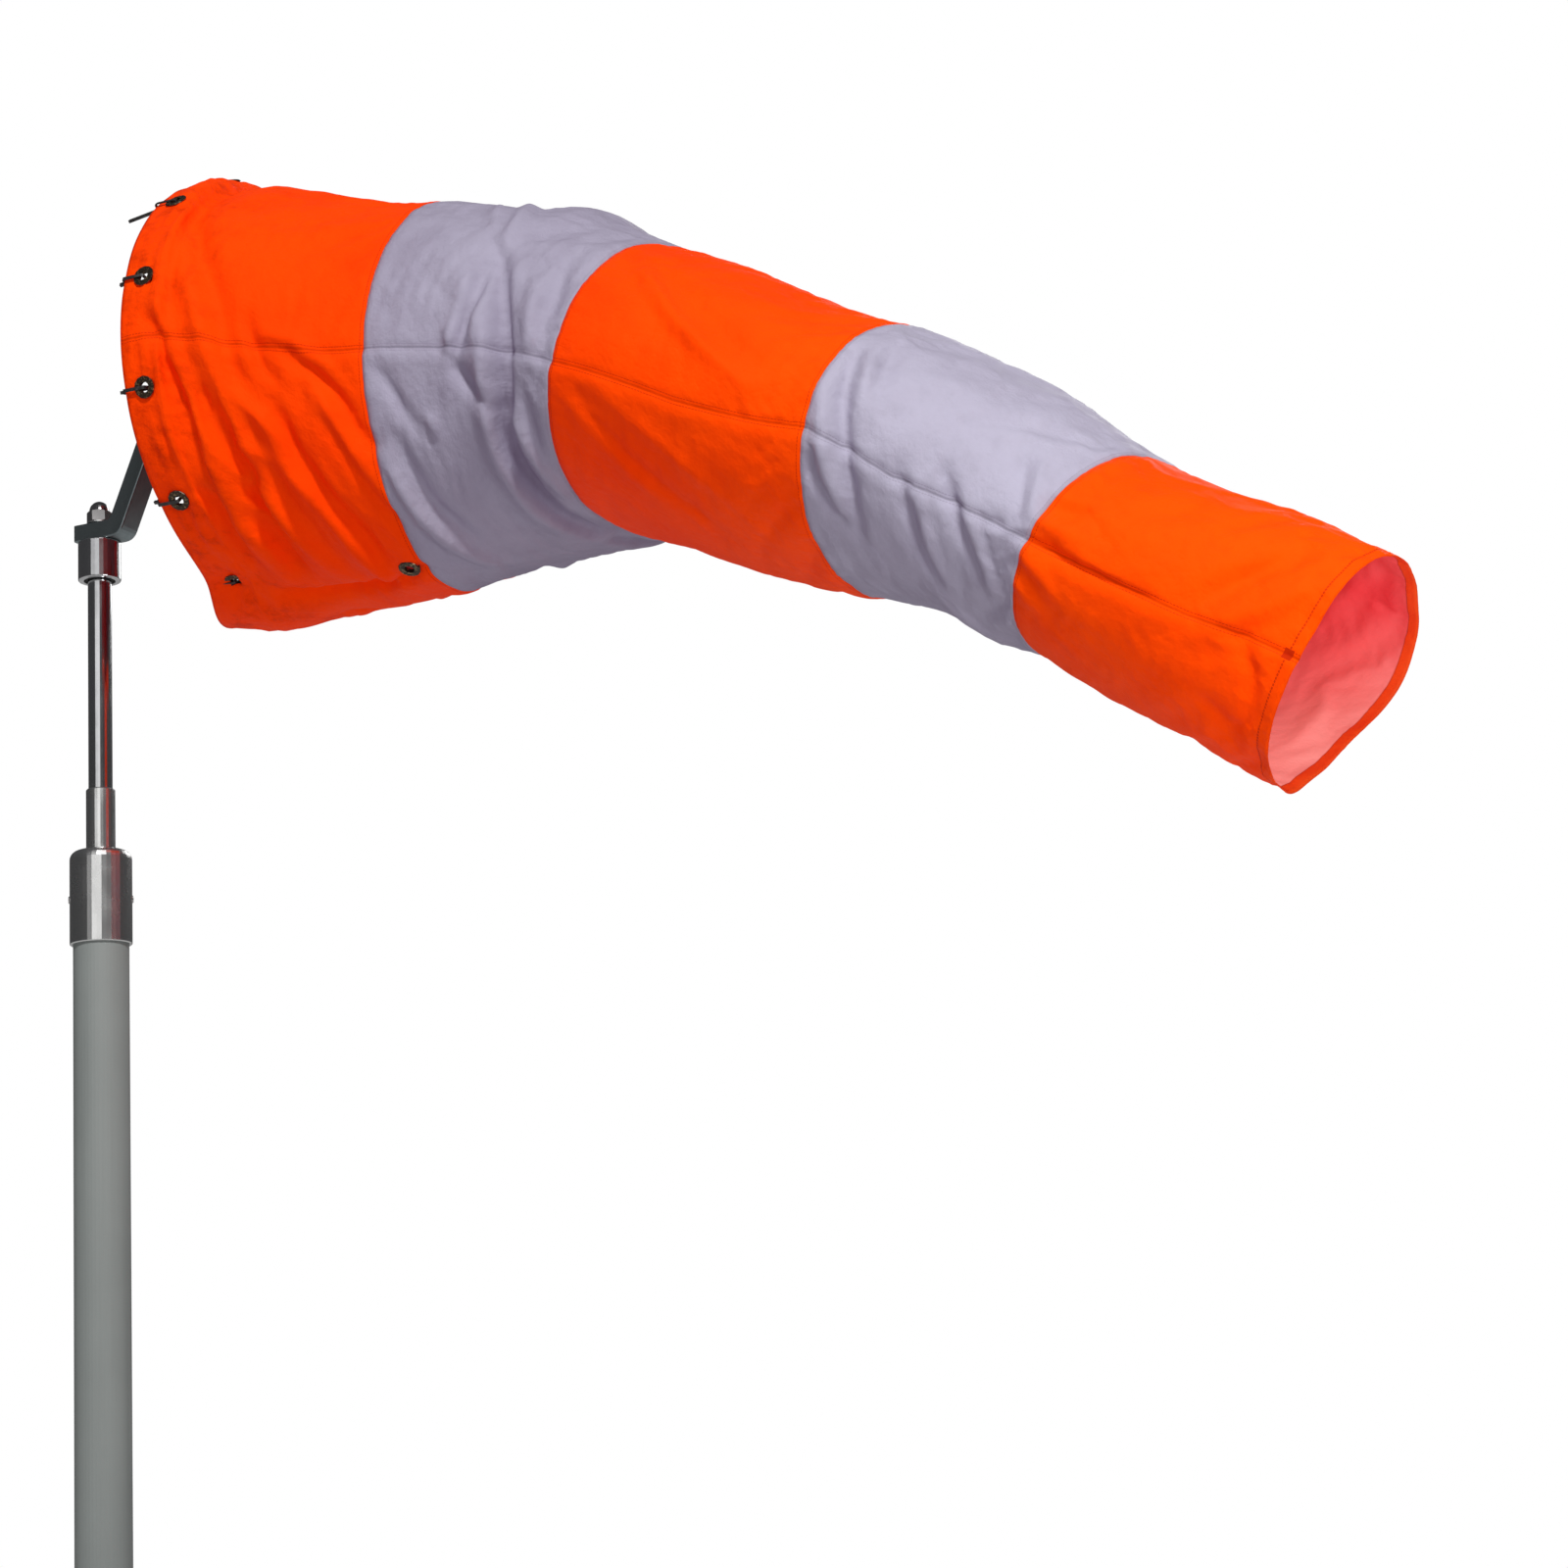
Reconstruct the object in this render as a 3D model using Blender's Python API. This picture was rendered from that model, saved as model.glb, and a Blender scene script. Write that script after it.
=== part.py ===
"""Windsock with pole.

A grey steel mast carries a stainless spindle. A bearing hub turns freely on the spindle and
holds a bent arm with a welded mouth ring. A five-band fabric sock is tied to the ring.
Metres, +Z up. The origin is the centre of the mast's foot. The sock streams along +X.
"""
import math

import bmesh
import bpy
from mathutils import Matrix, Vector

# ---- driving dimensions -------------------------------------------------------------------
GAP = 0.0003                 # clearance between neighbouring pieces

FOOT_SIDE = 0.220            # square base flange
FOOT_THICK = 0.012
FOOT_HOLE_D = 0.018
FOOT_HOLE_OFFSET = 0.080
GUSSET_TALL, GUSSET_WIDE, GUSSET_THICK = 0.090, 0.056, 0.008

MAST_D, MAST_WALL = 0.060, 0.003
SLEEVE_BOTTOM = 2.200        # lower edge of the sleeve, above the foot
SLEEVE_D, SLEEVE_TALL = 0.067, 0.104
SLEEVE_CAP = 0.034           # solid top of the sleeve
SLEEVE_SHOULDER = 0.010
SCREW_D, SCREW_LONG, SCREW_ANGLE = 0.008, 0.0045, 35.0

SPIGOT_D, SPIGOT_TALL = 0.0315, 0.069
ROD_D, ROD_BURIED = 0.026, 0.090
JOURNAL_D, THREAD_D = 0.017, 0.016

HUB_BOTTOM = SLEEVE_BOTTOM + 0.411
HUB_D, HUB_TALL, HUB_BORE_D = 0.047, 0.0447, 0.035
BEARING_TALL, BALL_D, BALL_COUNT = 0.010, 0.0048, 9
BALL_PITCH_D = 0.026

ARM_THICK, ARM_WIDE, ARM_TAIL = 0.020, 0.030, 0.024
ARM_CORNER_X = 0.0298        # where the two centre lines of the arm meet
WASHER_D, WASHER_THICK = 0.028, 0.0018
NUT_FLATS, NUT_TALL = 0.024, 0.0245

MOUTH_X, MOUTH_Z = 0.192, SLEEVE_BOTTOM + 0.590
MOUTH_R = 0.2355             # outside of the fabric at the mouth
RING_ROD_D = 0.010
RING_INSET = 0.008           # ring centre behind the fabric's edge

CLOTH = 0.002                # wall of the fabric solids
HEM = 0.045                  # straight hem round the mouth ring
LIP_GAP = 0.0025             # running clearance between one band and the next
EYELET_COUNT, EYELET_FIRST, EYELET_INSET = 12, 15.0, 0.024
EYELET_D, EYELET_HOLE_D, EYELET_BARREL_D = 0.024, 0.0115, 0.014
EYELET_FLANGE = 0.001
TIE_WIDE, TIE_THICK = 0.0036, 0.0012
TIE_LONG_TAIL, TIE_SHORT_TAIL = 0.036, 0.005

# Seams of the sock, mouth to tail: x, y, z of the centre, swing towards -Y and droop in degrees,
# upright and sideways half axes of the section.
SEAMS = (
    (MOUTH_X, 0.000, MOUTH_Z, 0.0, 0.0, MOUTH_R, MOUTH_R),
    (0.464, 0.012, SLEEVE_BOTTOM + 0.537, 2.0, 3.0, 0.214, 0.203),
    (0.687, 0.012, SLEEVE_BOTTOM + 0.505, 7.0, 21.0, 0.149, 0.201),
    (0.946, 0.006, SLEEVE_BOTTOM + 0.384, 8.0, 20.0, 0.134, 0.174),
    (1.155, 0.002, SLEEVE_BOTTOM + 0.248, 11.0, 37.0, 0.109, 0.150),
    (1.388, -0.042, SLEEVE_BOTTOM + 0.094, 10.0, 36.0, 0.118, 0.106),
)
# Largest turn of each band's hinge either way, which sets how far its front lip reaches in.
BAND_SWING = (0.0, 21.0, 19.0, 13.0, 13.0)
DRAIN_ANGLE, DRAIN_INSET = 158.0, 0.243


# ---- helpers ------------------------------------------------------------------------------
def clear_scene():
    for obj in list(bpy.data.objects):
        bpy.data.objects.remove(obj, do_unlink=True)


def material(name, colour, roughness, metallic):
    mat = bpy.data.materials.new(name)
    mat.use_nodes = True
    shader = mat.node_tree.nodes["Principled BSDF"]
    shader.inputs["Base Color"].default_value = (*colour, 1.0)
    shader.inputs["Roughness"].default_value = roughness
    shader.inputs["Metallic"].default_value = metallic
    mat.diffuse_color = (*colour, 1.0)
    return mat


def piece(name, bm, mat, matrix=Matrix.Identity(4), smooth_angle=35.0):
    bmesh.ops.recalc_face_normals(bm, faces=bm.faces)
    mesh = bpy.data.meshes.new(name)
    bm.to_mesh(mesh)
    bm.free()
    mesh.materials.append(mat)
    mesh.shade_smooth()
    mesh.set_sharp_from_angle(angle=math.radians(smooth_angle))
    return place(name, mesh, matrix)


def place(name, mesh, matrix):
    obj = bpy.data.objects.new(name, mesh)
    obj.matrix_world = matrix
    bpy.context.scene.collection.objects.link(obj)
    return obj


def turned_bmesh(profile, segments=32, loop=True):
    """Turn (radius, height) points about Z. A loop profile makes a tube, an open one a solid."""
    bm = bmesh.new()
    rows = []
    for radius, height in profile:
        if radius == 0.0:
            rows.append([bm.verts.new((0.0, 0.0, height))])
            continue
        row = []
        for k in range(segments):
            angle = 2.0 * math.pi * k / segments
            row.append(bm.verts.new((radius * math.cos(angle), radius * math.sin(angle), height)))
        rows.append(row)
    pairs = list(zip(rows, rows[1:]))
    if loop:
        pairs.append((rows[-1], rows[0]))
    for one, two in pairs:
        if len(one) == 1 and len(two) == 1:
            continue
        for k in range(segments):
            corners = [one[k % len(one)], one[(k + 1) % len(one)],
                       two[(k + 1) % len(two)], two[k % len(two)]]
            bm.faces.new(list(dict.fromkeys(corners)))
    return bm


def turned(name, profile, mat, z=0.0, segments=32, loop=True):
    matrix = Matrix.Translation((0.0, 0.0, z))
    return piece(name, turned_bmesh(profile, segments, loop), mat, matrix)


def arc(centre, radius, start, end, steps):
    """Points of an arc in a plane; angles in degrees."""
    angles = [math.radians(start + (end - start) * k / steps) for k in range(steps + 1)]
    return [(centre[0] + radius * math.cos(a), centre[1] + radius * math.sin(a)) for a in angles]


def plate_bmesh(outline, thickness):
    """Extrude a flat outline of (x, z) points along Y, centred on y = 0."""
    bm = bmesh.new()
    verts = [bm.verts.new((x, -thickness / 2.0, z)) for x, z in outline]
    face = bm.faces.new(verts)
    grown = bmesh.ops.extrude_face_region(bm, geom=[face])["geom"]
    moved = [v for v in grown if isinstance(v, bmesh.types.BMVert)]
    bmesh.ops.translate(bm, verts=moved, vec=(0.0, thickness, 0.0))
    return bm


def rounded_edges(obj, width, segments=2, angle=40.0):
    bevel = obj.modifiers.new("Rounded edges", "BEVEL")
    bevel.width = width
    bevel.segments = segments
    bevel.limit_method = "ANGLE"
    bevel.angle_limit = math.radians(angle)


def boolean(obj, tool, operation="DIFFERENCE"):
    cut = obj.modifiers.new(tool.name, "BOOLEAN")
    cut.operation = operation
    cut.object = tool
    cut.solver = "EXACT"


def cutter(name, matrices, radius, length, segments=20):
    """A guide of round bars, each centred on its matrix and lying along the matrix's Z."""
    bm = bmesh.new()
    for matrix in matrices:
        bmesh.ops.create_cone(bm, cap_ends=True, segments=segments, radius1=radius,
                              radius2=radius, depth=length, matrix=matrix)
    return guide(name, bm)


def guide(name, bm):
    mesh = bpy.data.meshes.new(name)
    bm.to_mesh(mesh)
    bm.free()
    tool = place(name, mesh, Matrix.Identity(4))
    tool.hide_render = True
    tool.display_type = "WIRE"
    return tool


# ---- mast ---------------------------------------------------------------------------------
def base_flange(mat):
    half, corner = FOOT_SIDE / 2.0, 0.016
    outline = []
    for k in range(4):
        turn = Matrix.Rotation(math.radians(90.0 * k), 2)
        for point in arc((half - corner, half - corner), corner, 0.0, 90.0, 4):
            outline.append(tuple(turn @ Vector(point)))
    bm = plate_bmesh(outline, FOOT_THICK)
    lay_flat = Matrix.Rotation(math.radians(90.0), 4, "X")
    bmesh.ops.transform(bm, matrix=lay_flat, verts=bm.verts)
    flange = piece("base_flange", bm, mat, Matrix.Translation((0.0, 0.0, FOOT_THICK / 2.0)))
    holes = [Matrix.Translation((sx * FOOT_HOLE_OFFSET, sy * FOOT_HOLE_OFFSET, FOOT_THICK / 2.0))
             for sx in (-1, 1) for sy in (-1, 1)]
    boolean(flange, cutter("flange_hole_guide", holes, FOOT_HOLE_D / 2.0, 3.0 * FOOT_THICK))


def gussets(mat):
    inner = MAST_D / 2.0 + GAP
    notch = 0.010
    outline = [(inner, notch), (inner + notch, 0.0), (inner + GUSSET_WIDE, 0.0),
               (inner + GUSSET_WIDE, 0.012), (inner + 0.012, GUSSET_TALL), (inner, GUSSET_TALL)]
    for k in range(4):
        turn = Matrix.Rotation(math.radians(90.0 * k), 4, "Z")
        matrix = Matrix.Translation((0.0, 0.0, FOOT_THICK + GAP)) @ turn
        piece("gusset_%d" % (k + 1), plate_bmesh(outline, GUSSET_THICK), mat, matrix)


def mast_tube(mat):
    outer, inner = MAST_D / 2.0, MAST_D / 2.0 - MAST_WALL
    low = FOOT_THICK + GAP
    top = SLEEVE_BOTTOM + SLEEVE_TALL - SLEEVE_CAP - GAP
    turned("mast_tube", [(outer, low), (outer, top), (inner, top), (inner, low)], mat, segments=48)


def mast_sleeve(mat):
    outer, bore, neck = SLEEVE_D / 2.0, MAST_D / 2.0 + GAP, SPIGOT_D / 2.0 + GAP
    shoulder = arc((outer - SLEEVE_SHOULDER, SLEEVE_TALL - SLEEVE_SHOULDER), SLEEVE_SHOULDER,
                   0.0, 90.0, 6)
    profile = [(bore, 0.0), (outer - 0.001, 0.0), (outer, 0.001)] + shoulder
    profile += [(neck, SLEEVE_TALL), (neck, SLEEVE_TALL - SLEEVE_CAP)]
    profile += [(bore, SLEEVE_TALL - SLEEVE_CAP)]
    sleeve = turned("mast_sleeve", profile, mat, z=SLEEVE_BOTTOM, segments=40)
    frames = screw_frames()
    boolean(sleeve, cutter("screw_hole_guide", frames, SCREW_D / 2.0 + GAP, 0.010, 16))


def screw_frames():
    """Frames of the two clamp screws, Z pointing out of the sleeve."""
    frames = []
    for k in range(2):
        turn = Matrix.Rotation(math.radians(SCREW_ANGLE + 180.0 * k), 4, "Z")
        out = Matrix.Translation((MAST_D / 2.0 + SCREW_LONG / 2.0 + GAP, 0.0,
                                  SLEEVE_BOTTOM + 0.050))
        frames.append(turn @ out @ Matrix.Rotation(math.radians(90.0), 4, "Y"))
    return frames


def grub_screws(mat):
    radius, socket = SCREW_D / 2.0, 0.0022
    half = SCREW_LONG / 2.0
    profile = [(0.0, -half), (radius - 0.0006, -half), (radius, -half + 0.0006),
               (radius, half - 0.0006), (radius - 0.0006, half), (socket, half),
               (socket, half - 0.0025), (0.0, half - 0.0025)]
    for k, frame in enumerate(screw_frames()):
        bm = turned_bmesh(profile, 18, loop=False)
        piece("grub_screw_%d" % (k + 1), bm, mat, frame)


# ---- spindle ------------------------------------------------------------------------------
def spigot(mat):
    outer, bore, chamfer = SPIGOT_D / 2.0, ROD_D / 2.0 + GAP, 0.0012
    low = SLEEVE_TALL - SLEEVE_CAP
    top = SLEEVE_TALL + SPIGOT_TALL
    profile = [(bore, low), (outer, low), (outer, top - chamfer), (outer - chamfer, top),
               (bore, top)]
    turned("spigot", profile, mat, z=SLEEVE_BOTTOM)


def stack():
    """Heights of the bearing stack above the hub's lower edge."""
    seal = 0.003
    lower = 0.0075
    upper = HUB_TALL - 0.006 - BEARING_TALL
    return seal, lower, upper


def spindle_rod(mat):
    _, lower, _ = stack()
    shoulder = HUB_BOTTOM + lower - GAP
    low = SLEEVE_BOTTOM + SLEEVE_TALL + SPIGOT_TALL - ROD_BURIED
    thread_from = HUB_BOTTOM + HUB_TALL + ARM_THICK + WASHER_THICK
    rod, journal, thread = ROD_D / 2.0, JOURNAL_D / 2.0 - GAP, THREAD_D / 2.0 - GAP
    top = thread_from + NUT_TALL * 0.62
    profile = [(0.0, low), (rod - 0.001, low), (rod, low + 0.001), (rod, shoulder - 0.0006),
               (rod - 0.0006, shoulder), (journal, shoulder), (journal, thread_from),
               (thread, thread_from), (thread, top - 0.001), (thread - 0.001, top), (0.0, top)]
    turned("spindle_rod", profile, mat, loop=False)


def bearing(prefix, z, steel, ball_steel):
    bore, land = JOURNAL_D / 2.0, 0.0113
    seat, outer_land = HUB_BORE_D / 2.0 - GAP, 0.0147
    pitch = BALL_PITCH_D / 2.0
    groove = BALL_D / 2.0 + GAP
    mid, half = BEARING_TALL / 2.0, math.degrees(math.acos((pitch - land) / groove))
    inner = [(bore, 0.0), (land, 0.0)] + arc((pitch, mid), groove, 180.0 + half, 180.0 - half, 4)
    inner += [(land, BEARING_TALL), (bore, BEARING_TALL)]
    half = math.degrees(math.acos((outer_land - pitch) / groove))
    outer = [(seat, 0.0), (seat, BEARING_TALL), (outer_land, BEARING_TALL)]
    outer += arc((pitch, mid), groove, half, -half, 4) + [(outer_land, 0.0)]
    turned(prefix + "_inner_ring", inner, steel, z=z, segments=20)
    turned(prefix + "_outer_ring", outer, steel, z=z, segments=20)
    low, high, web = mid - 0.001, mid + 0.001, 0.0005
    ring = [(pitch + web, low), (pitch + web, high), (pitch - web, high), (pitch - web, low)]
    cage = turned(prefix + "_ball_cage", ring, ball_steel, z=z, segments=2 * BALL_COUNT)
    bm = bmesh.new()
    for k in range(BALL_COUNT):
        angle = 2.0 * math.pi * (k + 0.25) / BALL_COUNT
        spot = Matrix.Translation((pitch * math.cos(angle), pitch * math.sin(angle), z + mid))
        bmesh.ops.create_icosphere(bm, subdivisions=1, radius=BALL_D / 2.0, matrix=spot)
    boolean(cage, guide(prefix + "_ball_guide", bm), "UNION")


def spindle_stack(steel):
    """What the nut clamps on the journal: rings, spacers and the washer."""
    _, lower, upper = stack()
    bore, sleeve = JOURNAL_D / 2.0, 0.0100
    spacer_low, spacer_high = lower + BEARING_TALL + GAP, upper - GAP
    tube = [(bore, spacer_low), (sleeve, spacer_low), (sleeve, spacer_high), (bore, spacer_high)]
    turned("inner_spacer", tube, steel, z=HUB_BOTTOM, segments=24)
    top_low = upper + BEARING_TALL + GAP
    top_high = HUB_TALL + GAP + ARM_THICK + 0.0006
    tube = [(bore, top_low), (sleeve, top_low), (sleeve, top_high), (bore, top_high)]
    turned("top_spacer", tube, steel, z=HUB_BOTTOM, segments=24)
    low = top_high + GAP
    high, edge, hole = low + WASHER_THICK, WASHER_D / 2.0, JOURNAL_D / 2.0
    ring = [(hole, low), (edge - 0.0003, low), (edge, low + 0.0003), (edge, high - 0.0003),
            (edge - 0.0003, high), (hole, high)]
    turned("top_washer", ring, steel, z=HUB_BOTTOM)
    return HUB_BOTTOM + high + GAP


def dome_nut(mat, low):
    corner = NUT_FLATS / math.sqrt(3.0)
    bore, hex_top, dome_r = THREAD_D / 2.0, 0.0125, 0.0112
    depth = NUT_TALL * 0.70
    crown = NUT_TALL - hex_top
    dome = [(dome_r * math.cos(math.radians(a)), hex_top + crown * math.sin(math.radians(a)))
            for a in range(0, 90, 12)]
    blank = 1.01 * corner
    profile = [(bore, 0.0), (corner - 0.0012, 0.0), (blank, 0.0009), (blank, hex_top - 0.0013),
               (dome_r + 0.0006, hex_top)] + dome
    profile += [(0.0, NUT_TALL), (0.0, depth), (bore, depth - 0.003)]
    bm = turned_bmesh(profile, 24)
    bmesh.ops.remove_doubles(bm, verts=bm.verts, dist=1e-7)
    nut = piece("dome_nut", bm, mat, Matrix.Translation((0.0, 0.0, low)), 28.0)
    spot = Matrix.Translation((0.0, 0.0, low))
    boolean(nut, cutter("nut_hexagon_guide", [spot], corner, 3.0 * NUT_TALL, 6), "INTERSECT")


# ---- turning head -------------------------------------------------------------------------
def hub_collar(mat):
    outer, bore, neck, edge = HUB_D / 2.0, HUB_BORE_D / 2.0, 0.0135 + GAP, 0.0015
    _, _, upper = stack()
    ceiling = upper + BEARING_TALL + GAP
    profile = [(bore, 0.0)] + arc((outer - edge, edge), edge, -90.0, 0.0, 3)
    profile += arc((outer - edge, HUB_TALL - edge), edge, 0.0, 90.0, 3)
    profile += [(neck, HUB_TALL), (neck, ceiling), (bore, ceiling)]
    turned("hub_collar", profile, mat, z=HUB_BOTTOM)


def hub_seal(mat):
    low, _, _ = stack()
    outer, inner, thick = HUB_BORE_D / 2.0 - GAP, ROD_D / 2.0 + 0.0006, 0.0035
    profile = [(inner, low + 0.001), (inner + 0.001, low), (outer, low), (outer, low + thick),
               (inner, low + thick)]
    turned("hub_seal", profile, mat, z=HUB_BOTTOM, segments=24)


def ring_radius():
    return MOUTH_R - CLOTH - 0.0006 - RING_ROD_D / 2.0


def arm_lean():
    """Angle from the vertical at which the arm just touches the top of the mouth ring."""
    along = MOUTH_X + RING_INSET - ARM_CORNER_X
    rise = MOUTH_Z + ring_radius() - (HUB_BOTTOM + HUB_TALL + GAP + ARM_THICK / 2.0)
    stand_off = ARM_THICK / 2.0 + RING_ROD_D / 2.0 + GAP
    reach = math.hypot(along, rise)
    return math.atan2(along, rise) - math.asin(stand_off / reach), reach


def carrier_arm(mat):
    lean, reach = arm_lean()
    half = ARM_THICK / 2.0
    corner = Vector((ARM_CORNER_X, HUB_BOTTOM + HUB_TALL + GAP + half))
    up = Vector((math.sin(lean), math.cos(lean)))
    lee = Vector((math.cos(lean), -math.sin(lean)))
    end = corner + up * (reach - 0.002)
    mitre = half * math.tan((math.pi / 2.0 - lean) / 2.0)
    inside = corner + Vector((-mitre, half))
    outside = corner + Vector((mitre, -half))
    bend = 0.011
    outline = [Vector((-ARM_TAIL, corner.y - half))]
    outline += bend_points(outside, Vector((-1.0, 0.0)), up, bend)
    outline += [end + lee * half, end - lee * half]
    outline += bend_points(inside, up, Vector((-1.0, 0.0)), 0.004)
    outline += [Vector((-ARM_TAIL, corner.y + half))]
    arm = piece("carrier_arm", plate_bmesh([tuple(p) for p in outline], ARM_WIDE), mat)
    rounded_edges(arm, 0.0016)
    spot = Matrix.Translation((0.0, 0.0, corner.y))
    boolean(arm, cutter("arm_hole_guide", [spot], 0.0100 + 2.0 * GAP, 0.060, 32))


def bend_points(corner, back, ahead, radius, steps=5):
    """A round corner as a quadratic curve between two points set back from the corner."""
    start, end = corner + back * radius, corner + ahead * radius
    points = []
    for k in range(steps + 1):
        t = k / steps
        points.append(start * (1 - t) ** 2 + corner * (2 * t * (1 - t)) + end * t * t)
    return points


def mouth_frame(angle):
    """X along the wind, Z outwards at this angle from the top, towards -Y."""
    centre = Matrix.Translation((MOUTH_X, 0.0, MOUTH_Z))
    return centre @ Matrix.Rotation(math.radians(angle), 4, "X")


def mouth_ring(mat):
    bm = bmesh.new()
    around, section, centre = 64, 8, ring_radius()
    rows = []
    for k in range(around):
        turn = mouth_frame(360.0 * k / around)
        row = []
        for j in range(section):
            angle = 2.0 * math.pi * j / section
            radius = RING_ROD_D / 2.0
            local = Vector((RING_INSET + radius * math.sin(angle), 0.0,
                            centre + radius * math.cos(angle)))
            row.append(bm.verts.new(turn @ local))
        rows.append(row)
    for k in range(around):
        ahead = rows[(k + 1) % around]
        for j in range(section):
            follow = (j + 1) % section
            bm.faces.new([rows[k][j], rows[k][follow], ahead[follow], ahead[j]])
    piece("mouth_ring", bm, mat, smooth_angle=60.0)


# ---- sock ---------------------------------------------------------------------------------
def seam_frame(seam):
    """Centre, wind direction, sideways direction towards -Y and upright direction."""
    x, y, z, swing, droop = seam[:5]
    swing, droop = math.radians(swing), math.radians(droop)
    ahead = Vector((math.cos(droop) * math.cos(swing), -math.cos(droop) * math.sin(swing),
                    -math.sin(droop)))
    side = Vector((-math.sin(swing), -math.cos(swing), 0.0))
    return Vector((x, y, z)), ahead, side, ahead.cross(side) * -1.0


def hermite(p0, p1, t0, t1, t):
    span = (p1 - p0).length
    return (p0 * (2 * t ** 3 - 3 * t ** 2 + 1) + t0 * span * (t ** 3 - 2 * t ** 2 + t)
            + p1 * (3 * t ** 2 - 2 * t ** 3) + t1 * span * (t ** 3 - t ** 2))


def band_sections(index):
    """Sections of one band, front to rear: centre, side, up, upright and sideways half axes."""
    front, rear = SEAMS[index], SEAMS[index + 1]
    centre, ahead, side, up = seam_frame(front)
    end, end_ahead, _, _ = seam_frame(rear)
    if index == 0:
        tall, wide, reach, swing = front[5], front[6], HEM, 0.0
        sections = [(centre, side, up, tall, wide), (centre + ahead * HEM, side, up, tall, wide)]
    else:
        tall, wide = front[5] - CLOTH - LIP_GAP, front[6] - CLOTH - LIP_GAP
        swing = math.radians(BAND_SWING[index])
        reach = tall * math.sin(swing)
        sections = []
        for share in (-1.0, -0.5, 0.0, 0.5, 1.0):
            waist = math.sqrt(1.0 - (share * math.sin(swing)) ** 2)
            sections.append((centre + ahead * (reach * share), side, up, tall * waist, wide * waist))
    start = centre + ahead * reach
    span = (end - start).length
    steps = 5
    for k in range(1, steps + 1):
        t = k / steps
        _, _, side, up = seam_frame([front[j] + (rear[j] - front[j]) * t for j in range(5)])
        waist = min(1.0, math.cos(swing) + span * t / tall)
        a = waist * (tall + (rear[5] - tall) * t)
        b = waist * (wide + (rear[6] - wide) * t)
        sections.append((hermite(start, end, ahead, end_ahead, t), side, up, a, b))
    return sections


def band(index, mat):
    bm = bmesh.new()
    around = 48 if index == 0 else 28
    skins = []
    for inset in (0.0, CLOTH):
        rows = []
        for centre, side, up, tall, wide in band_sections(index):
            row = []
            for k in range(around):
                angle = 2.0 * math.pi * k / around
                row.append(bm.verts.new(centre + up * ((tall - inset) * math.cos(angle))
                                        + side * ((wide - inset) * math.sin(angle))))
            rows.append(row)
        skins.append(rows)
    outer, inner = skins
    rows = outer + inner[::-1]
    for one, two in zip(rows, rows[1:] + rows[:1]):
        for k in range(around):
            ahead = (k + 1) % around
            bm.faces.new([one[k], one[ahead], two[ahead], two[k]])
    return piece("band_%d" % (index + 1), bm, mat, smooth_angle=50.0)


def skin_point(index, angle, distance):
    """A point on a band's outside, this far behind its front edge, the way along and out."""
    turn = math.radians(angle)
    ends = []
    for centre, side, up, tall, wide in band_sections(index):
        spot = centre + up * (tall * math.cos(turn)) + side * (wide * math.sin(turn))
        ends.append((spot, up * (math.cos(turn) / tall) + side * (math.sin(turn) / wide)))
    k = 0
    while distance > (ends[k + 1][0] - ends[k][0]).length and k < len(ends) - 2:
        distance -= (ends[k + 1][0] - ends[k][0]).length
        k += 1
    step = ends[k + 1][0] - ends[k][0]
    along = step.normalized()
    out = ends[k][1].lerp(ends[k + 1][1], distance / step.length)
    out = (out - along * out.dot(along)).normalized()
    return ends[k][0] + along * distance, along, out


def frame_at(spot, along, out):
    across = out.cross(along)
    rotation = Matrix((along, across, out)).transposed().to_4x4()
    return Matrix.Translation(spot) @ rotation


def eyelet_mesh(mat):
    edge, barrel, hole = EYELET_D / 2.0, EYELET_BARREL_D / 2.0, EYELET_HOLE_D / 2.0
    top, low = EYELET_FLANGE + 0.0002, -CLOTH - 0.0009
    profile = [(hole, top), (edge - 0.0005, top), (edge, 0.0002), (barrel, 0.0002), (barrel, low),
               (edge - 0.001, low), (edge - 0.001, low - EYELET_FLANGE),
               (hole, low - EYELET_FLANGE)]
    bm = turned_bmesh(profile, 12)
    bmesh.ops.recalc_face_normals(bm, faces=bm.faces)
    mesh = bpy.data.meshes.new("eyelet")
    bm.to_mesh(mesh)
    bm.free()
    mesh.materials.append(mat)
    mesh.shade_smooth()
    mesh.set_sharp_from_angle(angle=math.radians(40.0))
    return mesh


def eyelet_angles():
    return [EYELET_FIRST + 360.0 * k / EYELET_COUNT for k in range(EYELET_COUNT)]


def front_band_fittings(first_band, brass, nylon):
    """Eyelets, their holes in the first band, and the ties round the mouth ring."""
    frames = [frame_at(*skin_point(0, angle, EYELET_INSET)) for angle in eyelet_angles()]
    drain = frame_at(*skin_point(0, DRAIN_ANGLE, DRAIN_INSET))
    hole = EYELET_BARREL_D / 2.0 + GAP
    holes = cutter("eyelet_hole_guide", frames + [drain], hole, 0.016, 16)
    boolean(first_band, holes)
    mesh = eyelet_mesh(brass)
    for k, frame in enumerate(frames):
        place("eyelet_%02d" % (k + 1), mesh, frame)
    place("drain_eyelet", mesh, drain)
    for k, angle in enumerate(eyelet_angles()):
        tail = TIE_LONG_TAIL if k == 1 else TIE_SHORT_TAIL
        piece("tie_%02d" % (k + 1), tie_bmesh(tail), nylon, mouth_frame(angle), 50.0)


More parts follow.
